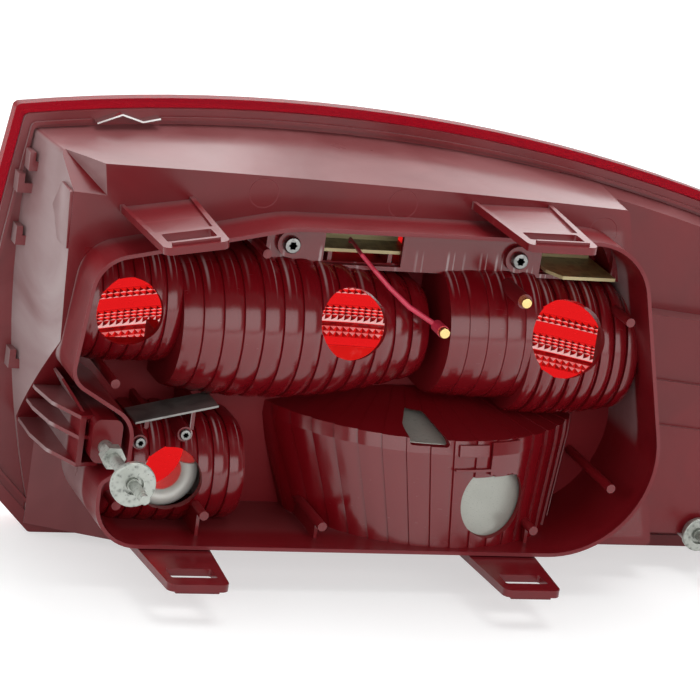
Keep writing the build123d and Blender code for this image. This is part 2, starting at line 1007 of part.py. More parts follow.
tongues = [
    Tongue(x=17.0, z=108.5, root_width=35.0, tip_width=30.0, tilt=9.5, outward=1),
    Tongue(x=190.0, z=116.0, root_width=41.0, tip_width=34.0, tilt=0.0, outward=1),
    Tongue(x=39.5, z=-50.5, root_width=39.0, tip_width=29.0, tilt=0.0, outward=-1),
    Tongue(x=203.0, z=-50.5, root_width=38.0, tip_width=28.0, tilt=0.0, outward=-1),
]


def moulded_housing():
    """The whole rear moulding."""
    room = slab(rim, rim_y, floor_front)
    hollow_room = slab(offset(rim, -rim_wall), rim_y - overlap, floor_front + 2 * overlap)
    fan, fan_hollow = reversing_chamber()
    ledge, led_room = shelf()
    block, block_hollow = wing_block()
    shell, body, body_hollow = shell_of_body()
    moulding = shell + block + room
    moulding -= slab(offset(rim, -rim_wall), rim_y - overlap, floor_y)
    inner = [barrel.outside() & room for barrel in barrels]
    inner += [fan & room, ledge & room]
    inner += [pin & room for pin in locating_pins()]
    for x, z in board_screw_places:
        inner.append(rod(x, z, screw_boss_radius, shelf_y - screw_boss_height, shelf_y + overlap))
    for x, z in chamber_screw_places:
        inner.append(rod(x, z, chamber_boss_radius, chamber_screw_y, axis_y))
    inner += shield_ribs()
    inner.append(rod(*right_contact, contact_post_radius, contact_y + contact_height, shelf_y + overlap))
    moulding += inner
    moulding -= [led_room, block_hollow - body]
    moulding += [rib & room for board in boards.values() for rib in board.ribs()]
    moulding -= [barrel.inside() & hollow_room for barrel in barrels]
    moulding -= [fan_hollow & hollow_room, guide_slot(), chamber_passage()]
    moulding -= [board.window() for board in boards.values()]
    moulding -= bulb_holes()
    moulding += [tongue.solid() for tongue in tongues]
    moulding += [piece - body_hollow for piece in stud_bracket()] + flange_hooks()
    moulding += rod(right_stud_x, right_stud_z, stud_boss_radius, right_seat, wing_y + overlap)
    return moulding - fastener_holes()


def guide_slot():
    """Opening in the tub floor that the LEDs shine through."""
    sill = shelf_bottom + wall
    left, right = boards["left"].left, boards["right"].right
    return box(left, right, floor_y - overlap, floor_front + overlap, sill, sill + guide_slot_height)


def chamber_passage():
    """Opening in the wall between the two upper left chambers."""
    left, right = chamber_b.left - passage_half, chamber_b.left + passage_half
    return box(left, right, passage_near, floor_front + overlap, passage_bottom, passage_top)


def bulb_holes():
    """Holes for the bulbs in the backs of the chambers, and the one in the reversing chamber's shoulder."""
    holes = [
        chamber_a.hole(hole_a_x, hole_a_tilt, hole_radius_a),
        chamber_b.hole(hole_b_x, hole_b_tilt, hole_radius_b),
        chamber_c_ridged.hole(hole_c_x, hole_c_tilt, hole_radius_c),
        rod(*hole_d, hole_radius_d, rim_y, axis_y),
    ]
    x, z = hole_e
    flat = plate(x - hole_radius_e, x + hole_radius_e, z - hole_radius_e, z + hole_e_flat)
    holes.append(slab(disc(x, z, hole_radius_e) & flat, rim_y, axis_y))
    shoulder = rounded([(x, z, shoulder_hole_corner) for x, z in shoulder_hole])
    holes.append(slab(shoulder, rim_y, axis_y))
    return holes


def fastener_holes():
    """Holes for the studs, the screws and the right contact."""
    holes = []
    for x, z in board_screw_places:
        head_y = shelf_y - screw_boss_height
        holes.append(rod(x, z, screw_radius + thread_clearance, head_y - overlap, head_y + screw_length))
    for x, z in chamber_screw_places:
        far = chamber_screw_y + chamber_screw_length
        holes.append(rod(x, z, chamber_screw_radius + thread_clearance, chamber_screw_y - overlap, far))
    near = contact_y + contact_height
    pin_hole = contact_shank_radius + thread_clearance
    holes.append(rod(*right_contact, pin_hole, near, near + contact_shank_length))
    tail = barrel_length + stud_tail
    holes.append(rod(0, 0, stud_radius + thread_clearance, barrel_length - overlap, tail))
    near, far = right_seat - overlap, right_seat + stud_tail
    holes.append(rod(right_stud_x, right_stud_z, stud_radius + thread_clearance, near, far))
    return holes


def screw(x, z, seat, radius, length, head_radius, head_height, socket):
    """Pan head screw along Y with its head behind the seat."""
    body = rod(x, z, radius, seat - overlap, seat + length - overlap)
    head = rod(x, z, head_radius, seat - head_height, seat)
    head = fillet(head.edges().group_by(Axis.Y)[0], head_height / 2)
    drive = Location((x, z)) * RegularPolygon(socket, 6)
    return body + head - slab(drive, seat - head_height, seat - head_height + screw_socket_depth)


def board_screws():
    seat = shelf_y - screw_boss_height
    sizes = (screw_radius, screw_length, screw_head_radius, screw_head_height, screw_socket_radius)
    return Compound(children=[screw(x, z, seat, *sizes) for x, z in board_screw_places])


def chamber_screws():
    sizes = (chamber_screw_radius, chamber_screw_length, chamber_screw_head, chamber_screw_height)
    socket = screw_socket_radius / 2
    return Compound(children=[screw(x, z, chamber_screw_y, *sizes, socket) for x, z in chamber_screw_places])


def light_guide():
    """Clear bar on the front of the tub floor, over the LED slot."""
    left, right = boards["left"].left - guide_border, boards["right"].right + guide_border
    bottom = shelf_bottom + wall - overlap
    outline = plate(left, right, bottom, bottom + guide_height)
    bar = slab(outline, floor_front, floor_front + guide_depth)
    return fillet(bar.edges().group_by(Axis.Y)[-1], guide_height / 4)


def contact(place):
    """Brass contact: a round tip on a thinner shank."""
    seat = contact_y + contact_height
    tip = rod(*place, contact_radius, contact_y, seat)
    tip = fillet(tip.edges().group_by(Axis.Y)[0], contact_radius / 4)
    return tip + rod(*place, contact_shank_radius, seat - overlap, seat + contact_shank_length - overlap)


def contact_lead():
    """Red sleeve from the left board to the left contact, thicker towards the contact."""
    x, z = left_contact
    seat = contact_y + contact_height
    collar = rod(x, z, lead_collar_radius, seat, seat + lead_collar_length)
    landing = left_board_top + lead_thin_radius + lead_foot
    points = [Vector(x, seat + lead_collar_length, z)]
    points += [Vector(run_x, shelf_y - back, run_z) for run_x, back, run_z in lead_route]
    points += [Vector(run_x, shelf_y - back, landing) for run_x, back in lead_landing]
    spread = (lead_thick_radius - lead_thin_radius) / (len(points) - 1)
    sleeve = collar
    for number, (start, end) in enumerate(zip(points, points[1:])):
        near = lead_thick_radius - number * spread
        run = end - start
        cone = Plane(start, z_dir=run) * Cone(
            near, near - spread, run.length, align=(Align.CENTER, Align.CENTER, Align.MIN)
        )
        sleeve += [cone, Location(start) * Sphere(near)]
    foot_top = points[-1].Z
    foot = Location((points[-1].X, points[-1].Y, left_board_top)) * Cylinder(
        lead_thin_radius, foot_top - left_board_top, align=(Align.CENTER, Align.CENTER, Align.MIN)
    )
    sleeve += [foot, Location(points[-1]) * Sphere(lead_thin_radius)]
    return sleeve - rod(x, z, contact_shank_radius + thread_clearance, seat, seat + contact_shank_length)


def stud_left():
    """Fixing stud with a hexagon collar whose back face is the seat plane."""
    washer_back = -washer_offset - washer_thickness
    shank = rod(0, 0, stud_radius, washer_back, 0)
    free_end = rod(0, 0, stud_end_radius, stud_tip_length - stud_length, washer_back)
    tip = rod(0, 0, stud_tip_radius, -stud_length, stud_tip_length - stud_length)
    collar = slab(RegularPolygon(collar_across_flats / 2, 6, major_radius=False), 0, collar_height)
    barrel = rod(0, 0, barrel_radius, collar_height, barrel_length)
    tail = rod(0, 0, stud_radius, barrel_length, barrel_length + stud_tail - overlap)
    return shank + free_end + tip + collar + barrel + tail


def stud_right():
    """Plain stud in the wing's boss."""
    washer_back = right_seat - washer_thickness
    shank = rod(right_stud_x, right_stud_z, stud_radius, washer_back, right_seat + stud_tail - overlap)
    tip = right_seat - right_stud_length
    return shank + rod(right_stud_x, right_stud_z, stud_end_radius, tip, washer_back)


def push_washer(x, z, seat, radius):
    """Round washer pressed on a stud, dished round the stud on its rear face."""
    disc_back = seat - washer_thickness
    washer = rod(x, z, radius, disc_back, seat)
    washer = fillet(washer.edges().group_by(Axis.Y)[0], washer_thickness / 3)
    washer -= rod(x, z, washer_dish_radius, disc_back - overlap, disc_back + washer_dish_depth)
    return washer - rod(x, z, stud_radius + thread_clearance, disc_back - overlap, seat + overlap)


def fog_reflector():
    """Bright bowl in the fog chamber: rounded rim, open at the top, and a cone to a plate on the floor."""
    x, z = hole_d
    mouth = (fog_mouth, rim_y + fog_mouth_depth)
    side = (fog_side, rim_y + fog_side_depth)
    crown = ThreePointArc(mouth, (fog_crown, rim_y + fog_crown_depth), side)
    line = crown + Line(side, (fog_front, floor_front))
    section = Plane((x, 0, z), x_dir=(1, 0, 0), z_dir=(0, 0, 1)) * trace(line, foil)
    bowl = revolve(section, Axis((x, 0, z), (0, 1, 0)), 360)
    cut_far = rim_y + fog_side_depth + fog_cut_depth
    bowl -= box(x - fog_front, x + fog_front, rim_y, cut_far, z + fog_cut_height, z + 2 * fog_front)
    bowl &= slab(disc(x, z, 2 * fog_front), rim_y, floor_front + foil)
    outline = plate(
        x - fog_plate_side, x + fog_plate_side, z - fog_plate_height, z + fog_plate_height, fog_plate_corner
    )
    flange = slab(outline, floor_front, floor_front + foil)
    flange -= rod(x, z, fog_front - foil / 2, floor_front - overlap, floor_front + foil + overlap)
    return bowl + flange


def reverse_reflector():
    """Bright bowl that lines the reversing chamber and stands on the tub's bottom wall."""
    outer = wall + reverse_reflector_gap
    bowl = fan_solid(outer) - fan_solid(outer + foil)
    return bowl & slab(offset(rim, -rim_wall), rim_y, floor_front)


def shield_line(x):
    """Height of the heat shield's underside above a place along X."""
    slope = (shield_right[1] - shield_left[1]) / (shield_right[0] - shield_left[0])
    return shield_left[1] + slope * (x - shield_left[0])


def shield_ribs():
    """Ribs on the fog chamber that the heat shield lies on."""
    ribs = []
    for x in shield_rib_places:
        left, right = x - shield_rib_width / 2, x + shield_rib_width / 2
        foot = chamber_d.height
        outline = make_face(
            Polyline(
                (left, foot),
                (right, foot),
                (right, shield_line(right)),
                (left, shield_line(left)),
                close=True,
            )
        )
        ribs.append(slab(outline, shield_y + shield_rib_setback, floor_front))
    return ribs


def heat_shield():
    """Bent steel sheet over the fog chamber, with a tapered lip along its rear edge."""
    left, right = shield_left, shield_right
    raised = [(x, z + shield_sheet) for x, z in (right, left)]
    top = make_face(Polyline(left, right, *raised, close=True))
    lip = make_face(Polyline(left, right, raised[0], raised[1], (left[0], left[1] - shield_lip), close=True))
    return slab(top, shield_y, shield_y + shield_depth) + slab(lip, shield_y, shield_y + shield_sheet)


def edge_clip():
    """Bent spring strip that lies on the top of the body beside the flange."""
    far = flange_y - flange_thickness
    near = far - clip_width
    line = Polyline(
        (clip_left, arch_z(clip_left) + clip_sheet),
        (clip_apex, arch_z(clip_apex) + clip_rise),
        (clip_dip, arch_z(clip_dip) + clip_sheet),
        (clip_right, arch_z(clip_right) + clip_rise / 2),
    )
    return slab(trace(line, clip_sheet), near, far)


def drafted_block(grow, back):
    """Block with the lens outline: straight up to the brow, then drafted inwards to the front."""
    front = lens_apex + lens_wall
    draft = (front - lens_brow) * tan(radians(lens_draft))
    brow_line = at_depth(lens_brow) * lamp_outline(grow)
    sloped = loft([brow_line, at_depth(front) * lamp_outline(grow - draft)], ruled=True)
    return slab(lamp_outline(grow), back, lens_brow) + sloped


def lens_shell():
    """Domed lens with a skirt round the flange, before the clear window is taken out."""
    centre = Location((lens_centre_x, lens_apex - lens_sphere, lens_centre_z))
    clear = flange_width + lens_clearance
    outer = drafted_block(clear + skirt_wall, lens_back) & (centre * Sphere(lens_sphere))
    inner = drafted_block(clear, lens_back - overlap) & (centre * Sphere(lens_sphere - lens_wall))
    return outer - inner


def lens_window(gap):
    """Prism through the lens where its clear window is."""
    left, right = window_left + gap, window_right - gap
    outline = plate(left, right, window_bottom + gap, window_top - gap, window_corner)
    return slab(outline, flange_y, lens_apex + lens_wall)


def reflex_reflector():
    """Prism strip that lies against the inside of the lens."""
    centre = Location((lens_centre_x, lens_apex - lens_sphere, lens_centre_z))
    outer = lens_sphere - lens_wall - reflex_gap
    outline = plate(reflex_left, reflex_right, reflex_bottom, reflex_top, reflex_corner)
    strip = slab(outline, flange_y, lens_apex)
    return strip & (centre * Sphere(outer)) - (centre * Sphere(outer - reflex_thickness))


def lens_seal():
    """Bead in the corner between the flange and the lens skirt."""
    edge = flange_width + lens_clearance - thread_clearance
    ring = slab(lamp_outline(edge), flange_y, flange_y + seal_height)
    return ring - slab(lamp_outline(edge - seal_width), flange_y - overlap, flange_y + seal_height + overlap)


lens = lens_shell()
parts = {
    "rear_housing": moulded_housing(),
    "outer_lens_red": lens - lens_window(0),
    "outer_lens_clear": lens & lens_window(window_gap),
    "lens_seal": lens_seal(),
    "reflex_reflector": reflex_reflector(),
    "light_guide": light_guide(),
    "fog_reflector": fog_reflector(),
    "reverse_reflector": reverse_reflector(),
    "fog_heat_shield": heat_shield(),
    "chamber_screws": chamber_screws(),
    "board_screws": board_screws(),
    "contact_pin_left": contact(left_contact),
    "contact_pin_right": contact(right_contact),
    "contact_lead": contact_lead(),
    "stud_left": stud_left(),
    "stud_right": stud_right(),
    "washer_left": push_washer(0, 0, -washer_offset, washer_radius),
    "washer_right": push_washer(right_stud_x, right_stud_z, right_seat, right_washer_radius),
    "edge_clip": edge_clip(),
}
for side, board in boards.items():
    parts[f"led_board_{side}"] = board.solid()
    parts[f"led_row_{side}"] = board.leds()

os.makedirs("parts", exist_ok=True)
for name, shape in parts.items():
    export_step(shape, f"parts/{name}.step")
    print(name, len(shape.solids()), round(shape.volume))
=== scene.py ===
# Tail light cluster from its bulb side: finishes, fine pieces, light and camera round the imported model.
# The frame is the model's own: X to the right as seen from behind the lamp, Y forward to the lens, Z up.
# Lengths are in metres, except where a description says that they are in millimetres.
import json
import logging
import math
from dataclasses import dataclass, field
from enum import Enum
from functools import reduce
from typing import Callable, Optional

import bmesh
import bpy
from mathutils import Matrix, Vector


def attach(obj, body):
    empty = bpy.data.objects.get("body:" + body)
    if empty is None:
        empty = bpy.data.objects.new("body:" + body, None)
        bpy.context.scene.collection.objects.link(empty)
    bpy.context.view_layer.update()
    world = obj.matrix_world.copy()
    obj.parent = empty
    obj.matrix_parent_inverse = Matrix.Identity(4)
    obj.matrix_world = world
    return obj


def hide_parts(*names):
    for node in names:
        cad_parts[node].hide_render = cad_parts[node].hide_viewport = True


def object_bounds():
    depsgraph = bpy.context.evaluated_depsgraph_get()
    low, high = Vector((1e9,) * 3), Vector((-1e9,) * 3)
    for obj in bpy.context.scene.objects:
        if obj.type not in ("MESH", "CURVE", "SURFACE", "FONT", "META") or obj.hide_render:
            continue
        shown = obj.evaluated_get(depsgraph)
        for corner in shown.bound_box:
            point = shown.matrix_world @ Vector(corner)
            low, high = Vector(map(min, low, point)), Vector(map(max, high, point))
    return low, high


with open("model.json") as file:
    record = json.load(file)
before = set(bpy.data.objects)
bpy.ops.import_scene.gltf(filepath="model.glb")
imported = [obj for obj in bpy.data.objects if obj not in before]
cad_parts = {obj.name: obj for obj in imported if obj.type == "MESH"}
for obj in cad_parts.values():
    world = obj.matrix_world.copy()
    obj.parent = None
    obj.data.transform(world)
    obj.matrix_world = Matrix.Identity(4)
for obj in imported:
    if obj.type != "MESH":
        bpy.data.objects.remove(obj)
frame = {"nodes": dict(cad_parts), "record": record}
cad_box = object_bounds()

MM = 0.001
BODY = "root"
PAINTED_GLINT = "painted_glint"
logging.basicConfig(level=logging.INFO, format="%(message)s")
log = logging.getLogger("tail_light")

Colour = Place = tuple[float, float, float]
Span = tuple[float, float]
Value = bpy.types.NodeSocket
Tree = bpy.types.NodeTree
Mesh = bmesh.types.BMesh


def mm(*sizes: float) -> tuple[float, ...]:
    """Millimetres as metres."""
    return tuple(size * MM for size in sizes)


class Ray(Enum):
    """Outputs of the Light Path node that see the plain background."""

    CAMERA = "Is Camera Ray"
    GLOSSY = "Is Glossy Ray"
    TRANSMISSION = "Is Transmission Ray"


class Graph:
    """Short-hand for building a node tree."""

    def __init__(self, tree: Tree) -> None:
        """Keep the tree that the nodes go into."""
        self.tree = tree

    def add(self, kind: str, settings: Optional[dict] = None, **inputs: object) -> bpy.types.Node:
        """Add a node, set its properties and set or link its inputs.

        Args:
            kind: Node type without its "ShaderNode" prefix.
            settings: Properties of the node itself.
            **inputs: Input names, with underscores for spaces, and a value or an output socket for each.

        Returns:
            The new node.
        """
        node = self.tree.nodes.new("ShaderNode" + kind)
        for name, value in (settings or {}).items():
            setattr(node, name, value)
        for name, value in inputs.items():
            self.feed(node.inputs[name.replace("_", " ")], value)
        return node

    def feed(self, socket: Value, value: object) -> None:
        """Link an output to a socket, or set the socket's own value.

        Args:
            socket: The input socket.
            value: An output socket, a number, a colour or a vector.
        """
        if isinstance(value, Value):
            self.tree.links.new(value, socket)
        elif socket.type == "RGBA" and len(value) == 3:
            socket.default_value = (*value, 1.0)
        else:
            socket.default_value = value

    def math(self, operation: str, first: object, second: object = 0.0) -> Value:
        """Add a Math node.

        Args:
            operation: Blender's name of the operation.
            first: First value or socket.
            second: Second value or socket.

        Returns:
            The node's output.
        """
        node = self.add("Math", {"operation": operation})
        self.feed(node.inputs[0], first)
        self.feed(node.inputs[1], second)
        return node.outputs[0]

    def product(self, *values: object) -> Value:
        """Multiply two or more values or sockets."""
        return reduce(lambda first, second: self.math("MULTIPLY", first, second), values)

    def apart(self, first: object, second: object) -> Value:
        """How far two values are apart."""
        return self.math("ABSOLUTE", self.math("SUBTRACT", first, second))

    def ramp(self, value: Value, low: object, high: object) -> Value:
        """Map a value to 0 below the low limit and 1 above the high one."""
        smooth = {"interpolation_type": "SMOOTHSTEP"}
        return self.add("MapRange", smooth, Value=value, From_Min=low, From_Max=high).outputs["Result"]

    def drop(self, value: Value, low: object, high: object) -> Value:
        """Map a value to 1 below the low limit and 0 above the high one."""
        return self.math("SUBTRACT", 1.0, self.ramp(value, low, high))

    def span(self, value: Value, low: float, high: float) -> Value:
        """Map a value from 0..1 to the range from low to high."""
        return self.add("MapRange", Value=value, To_Min=low, To_Max=high).outputs["Result"]

    def mix(self, share: object, first: object, second: object) -> Value:
        """Mix two colours.

        Args:
            share: Share of the second colour, a value or a socket.
            first: First colour or socket.
            second: Second colour or socket.

        Returns:
            The mixed colour.
        """
        node = self.add("Mix", {"data_type": "RGBA"})
        for number, value in ((0, share), (6, first), (7, second)):
            self.feed(node.inputs[number], value)
        return node.outputs[2]

    def noise(self, place: Value, scale: object, detail: float = 2.0, distortion: float = 0.0) -> Value:
        """Noise at a place, with its scale in waves a metre, its octaves and how far it bends itself."""
        node = self.add("TexNoise", Vector=place, Scale=scale, Detail=detail, Distortion=distortion)
        return node.outputs["Fac"]

    def place(self) -> Value:
        """Object coordinates, which are the model's own."""
        return self.add("TexCoord").outputs["Object"]

    def normal(self) -> Value:
        """The surface's normal."""
        return self.add("NewGeometry").outputs["Normal"]

    def axes(self, vector: Value) -> tuple[Value, ...]:
        """The X, Y and Z of a vector."""
        return tuple(self.add("SeparateXYZ", Vector=vector).outputs)


class Effect(Enum):
    """Shared surface effects, each a shader node group."""

    MOULDED = "moulded_surface"
    PLATED = "plated_metal"
    DRAWN = "drawn_lines"
    TUB = "tub_regions"
    FLUTES = "painted_flute_highlights"
    MARK = "ejector_mark"


def start_group(
    kind: Effect, inputs: dict[str, float], outputs: tuple[str, ...]
) -> tuple[Graph, dict[str, Value]]:
    """Start a shader node group of values.

    Args:
        kind: Which effect the group makes.
        inputs: Input names and their default values.
        outputs: Output names.

    Returns:
        The group's graph, and its input sockets by name.
    """
    tree = bpy.data.node_groups.new(kind.value, "ShaderNodeTree")
    for label, value in inputs.items():
        socket = tree.interface.new_socket(label, in_out="INPUT", socket_type="NodeSocketFloat")
        socket.default_value = value
    for label in outputs:
        tree.interface.new_socket(label, in_out="OUTPUT", socket_type="NodeSocketFloat")
    entry = tree.nodes.new("NodeGroupInput")
    return Graph(tree), {socket.name: socket for socket in entry.outputs if socket.name}


def put_out(graph: Graph, **values: Value) -> Tree:
    """Link values to a group's outputs.

    Args:
        graph: The group's graph.
        **values: Output names and the sockets that feed them.

    Returns:
        The finished group.
    """
    leave = graph.tree.nodes.new("NodeGroupOutput")
    for label, socket in values.items():
        graph.tree.links.new(socket, leave.inputs[label])
    return graph.tree


def make_moulded_group() -> Tree:
    """Injection-moulded surface: slow flow marks, fine orange peel and thin scuffs.

    Returns:
        The group, with outputs Flow, Scuff and Height.
    """
    flow_height, peel_height, scuff_depth = 0.6, 0.25, 0.08
    scales = {"Flow Scale": 18.0, "Peel Scale": 900.0, "Scuff Scale": 130.0}
    graph, inputs = start_group(Effect.MOULDED, scales, ("Flow", "Scuff", "Height"))
    place = graph.place()
    flow = graph.noise(place, inputs["Flow Scale"], 4.0, 1.2)
    peel = graph.noise(place, inputs["Peel Scale"])
    slanted = graph.add("Mapping", Vector=place, Rotation=(0.3, 0.5, 0.9), Scale=(1.0, 9.0, 6.0))
    scuff = graph.ramp(graph.noise(slanted.outputs[0], inputs["Scuff Scale"], 3.0), 0.62, 0.78)
    swell = graph.math("ADD", graph.product(flow, flow_height), graph.product(peel, peel_height))
    height = graph.math("SUBTRACT", swell, graph.product(scuff, scuff_depth))
    return put_out(graph, Flow=flow, Scuff=scuff, Height=height)


def make_plated_group() -> Tree:
    """Zinc-plated or bright metal: crystal mottling and small dark pits.

    Returns:
        The group, with outputs Mottle, Pits and Height.
    """
    mottle_share, mottle_height, pit_depth = 0.7, 0.4, 0.5
    scales = {"Mottle Scale": 420.0, "Pit Scale": 900.0}
    graph, inputs = start_group(Effect.PLATED, scales, ("Mottle", "Pits", "Height"))
    place = graph.place()
    cells = graph.add("TexVoronoi", Vector=place, Scale=inputs["Mottle Scale"]).outputs["Distance"]
    cloud = graph.noise(place, inputs["Mottle Scale"], 3.0)
    mottle = graph.product(graph.math("ADD", cells, cloud), mottle_share)
    pits = graph.ramp(graph.noise(place, inputs["Pit Scale"]), 0.64, 0.72)
    height = graph.math("SUBTRACT", graph.product(mottle, mottle_height), graph.product(pits, pit_depth))
    return put_out(graph, Mottle=mottle, Pits=pits, Height=height)


def make_drawn_group() -> Tree:
    """Rolled or turned metal: fine parallel lines with slow stains.

    Returns:
        The group, with outputs Lines and Stain.
    """
    graph, inputs = start_group(Effect.DRAWN, {"Line Scale": 300.0, "Stain Scale": 60.0}, ("Lines", "Stain"))
    place = graph.place()
    drawn_out = graph.add("Mapping", Vector=place, Scale=(1.0, 14.0, 14.0)).outputs[0]
    lines = graph.noise(drawn_out, inputs["Line Scale"], 3.0)
    return put_out(graph, Lines=lines, Stain=graph.noise(place, inputs["Stain Scale"], 4.0, 0.8))


def make_tub_group() -> Tree:
    """Masks of the housing: the tub inside the carrier rim, where shade is painted, the rim's edge, where a
    highlight is painted, and all that is outside the tub.

    Returns:
        The group, with outputs Inside, Rim and Outer.
    """
    shoulder_run, shoulder_height, shoulder_blend = mm(58, 76), mm(87.5, 107.5), mm(-1, 1)
    bottom, left_end, right_end, right_lean = mm(-48, -46), mm(-16, -13), mm(273, 276), 0.2476
    notch_top, notch_end, edge_width = mm(27, 31), mm(9, 12), mm(0.3, 0.9)
    depths = {"Near": 14.4 * MM, "Far": 22.0 * MM, "Rim Depth": 14.0 * MM}
    graph, inputs = start_group(Effect.TUB, depths, ("Inside", "Rim", "Outer"))
    x, y, z = graph.axes(graph.place())
    deep = graph.ramp(y, inputs["Near"], inputs["Far"])
    shoulder = graph.span(graph.ramp(x, *shoulder_run), *shoulder_height)
    under = graph.drop(graph.math("SUBTRACT", z, shoulder), *shoulder_blend)
    left_of = graph.drop(graph.math("ADD", x, graph.product(z, right_lean)), *right_end)
    notch = graph.math("MAXIMUM", graph.ramp(z, *notch_top), graph.ramp(x, *notch_end))
    flat = graph.product(under, graph.ramp(z, *bottom), left_of, graph.ramp(x, *left_end), notch)
    edge = graph.drop(graph.apart(y, inputs["Rim Depth"]), *edge_width)
    outer = graph.math("SUBTRACT", 1.0, flat)
    return put_out(graph, Inside=graph.product(flat, deep), Rim=edge, Outer=outer)


def make_flute_group() -> Tree:
    """Painted highlights: pale lines along the flutes of a chamber, strongest at its top, which stand for
    glossy reflections.

    Returns:
        The node group, with the output Worn.
    """
    broad_phase, broad_width = 0.24, (0.02, 0.10)
    thin_phase, thin_width, thin_share = 0.6, (0.01, 0.05), 0.8
    near_depth, far_depth, top_end = mm(22, 24), mm(54, 60), mm(4, 9)
    stretch, break_scale, breaks = (1.0, 0.1, 0.1), 110.0, (0.42, 0.6)
    sizes = {"Left": 0.0, "Right": 0.1, "Pitch": 9.0 * MM, "Low": 70.0 * MM, "High": 84.0 * MM}
    graph, inputs = start_group(Effect.FLUTES, sizes, ("Worn",))
    place = graph.place()
    x, y, z = graph.axes(place)
    along = graph.math("SUBTRACT", x, inputs["Left"])
    phase = graph.math("FRACT", graph.math("DIVIDE", along, inputs["Pitch"]))
    broad = graph.drop(graph.apart(phase, broad_phase), *broad_width)
    thin = graph.drop(graph.apart(phase, thin_phase), *thin_width)
    lines = graph.math("MAXIMUM", broad, graph.product(thin, thin_share))
    rest = graph.math("SUBTRACT", inputs["Right"], x)
    inside = graph.product(graph.ramp(along, 0.0, MM), graph.ramp(rest, 0.0, MM))
    height = graph.ramp(z, inputs["Low"], inputs["High"])
    below = graph.drop(graph.math("SUBTRACT", z, inputs["High"]), *top_end)
    depth = graph.product(graph.ramp(y, *near_depth), graph.drop(y, *far_depth))
    stretched = graph.add("Mapping", Vector=place, Scale=stretch).outputs[0]
    broken = graph.ramp(graph.noise(stretched, break_scale, 1.0), *breaks)
    return put_out(graph, Worn=graph.product(lines, inside, height, below, depth, broken))


def make_mark_group() -> Tree:
    """Round mark that an ejector pin of the mould leaves on the back wall.

    Returns:
        The group, with outputs Disc and Ring.
    """
    disc_edge, ring_width, wall_reach = mm(-0.2, 0.2), mm(0.15, 0.5), mm(1, 2)
    sizes = {"X": 0.0, "Z": 0.0, "Radius": 7.0 * MM, "Depth": 40.0 * MM}
    graph, inputs = start_group(Effect.MARK, sizes, ("Disc", "Ring"))
    x, y, z = graph.axes(graph.place())
    across = graph.math("POWER", graph.math("SUBTRACT", x, inputs["X"]), 2.0)
    up = graph.math("POWER", graph.math("SUBTRACT", z, inputs["Z"]), 2.0)
    reach = graph.math("SUBTRACT", graph.math("SQRT", graph.math("ADD", across, up)), inputs["Radius"])
    near = graph.drop(graph.apart(y, inputs["Depth"]), *wall_reach)
    disc = graph.product(graph.drop(reach, *disc_edge), near)
    ring = graph.product(graph.drop(graph.math("ABSOLUTE", reach), *ring_width), near)
    return put_out(graph, Disc=disc, Ring=ring)


GROUP_MAKERS: dict[Effect, Callable[[], Tree]] = {
    Effect.MOULDED: make_moulded_group,
    Effect.PLATED: make_plated_group,
    Effect.DRAWN: make_drawn_group,
    Effect.TUB: make_tub_group,
    Effect.FLUTES: make_flute_group,
    Effect.MARK: make_mark_group,
}


class Paint(Graph):
    """Nodes of one material, round its Principled shader."""

    def __init__(self, name: str) -> None:
        """Make the material.

        Args:
            name: Name of the material.
        """
        self.material = bpy.data.materials.new(name)
        self.material.use_nodes = True
        super().__init__(self.material.node_tree)
        self.shader = self.tree.nodes["Principled BSDF"]

    def set(self, **inputs: object) -> None:
        """Set or link inputs of the shader, which are named with underscores for spaces."""
        for name, value in inputs.items():
            self.feed(self.shader.inputs[name.replace("_", " ")], value)

    def bump(self, height: Value, depth: float) -> None:
        """Feed a height to the shader's normal."""
        node = self.add("Bump", Height=height, Distance=depth, Strength=1.0)
        self.set(Normal=node.outputs["Normal"])

    def effect(self, kind: Effect, **inputs: float) -> bpy.types.NodeOutputs:
        """Place a shared effect with values for its inputs, and give its outputs."""
        tree = bpy.data.node_groups.get(kind.value) or GROUP_MAKERS[kind]()
        return self.add("Group", {"node_tree": tree}, **inputs).outputs


@dataclass(frozen=True)
class Finish:
    """A surface finish that makes one material."""

    name: str
    colour: Colour
    roughness: float

    def make(self) -> bpy.types.Material:
        """Make the material in its plain colour and work it up.

        Returns:
            The material.
        """
        paint = Paint(self.name)
        paint.set(Base_Color=self.colour, Roughness=self.roughness)
        self.work(paint)
        return paint.material

    def work(self, paint: Paint) -> None:
        """Leave the plain colour as it is."""

    def around(self, shares: Span) -> Span:
        """Two shares of the roughness."""
        return self.roughness * shares[0], self.roughness * shares[1]


@dataclass(frozen=True)
class MouldedPlastic(Finish):
    """Opaque glossy moulding with flow marks."""

    deep: Colour = (0.05, 0.003, 0.004)
    coat: float = 0.25
    coat_roughness: float = 0.12
    peel: float = 0.00006
    flow_scale: float = 18.0
    flow_range: Span = (0.3, 0.72)
    gloss_range: Span = (0.75, 1.35)
    scuffing: float = 0.14

    def work(self, paint: Paint) -> None:
        """Add flow marks, scuffs and a coat.

        Args:
            paint: The nodes.
        """
        surface = paint.effect(Effect.MOULDED, Flow_Scale=self.flow_scale)
        tone = paint.mix(paint.ramp(surface["Flow"], *self.flow_range), self.deep, self.colour)
        gloss = paint.span(surface["Flow"], *self.around(self.gloss_range))
        scuffs = paint.product(surface["Scuff"], self.scuffing)
        paint.set(Base_Color=tone, Roughness=paint.math("ADD", gloss, scuffs))
        paint.set(Coat_Weight=self.coat, Coat_Roughness=self.coat_roughness)
        paint.bump(surface["Height"], self.peel)


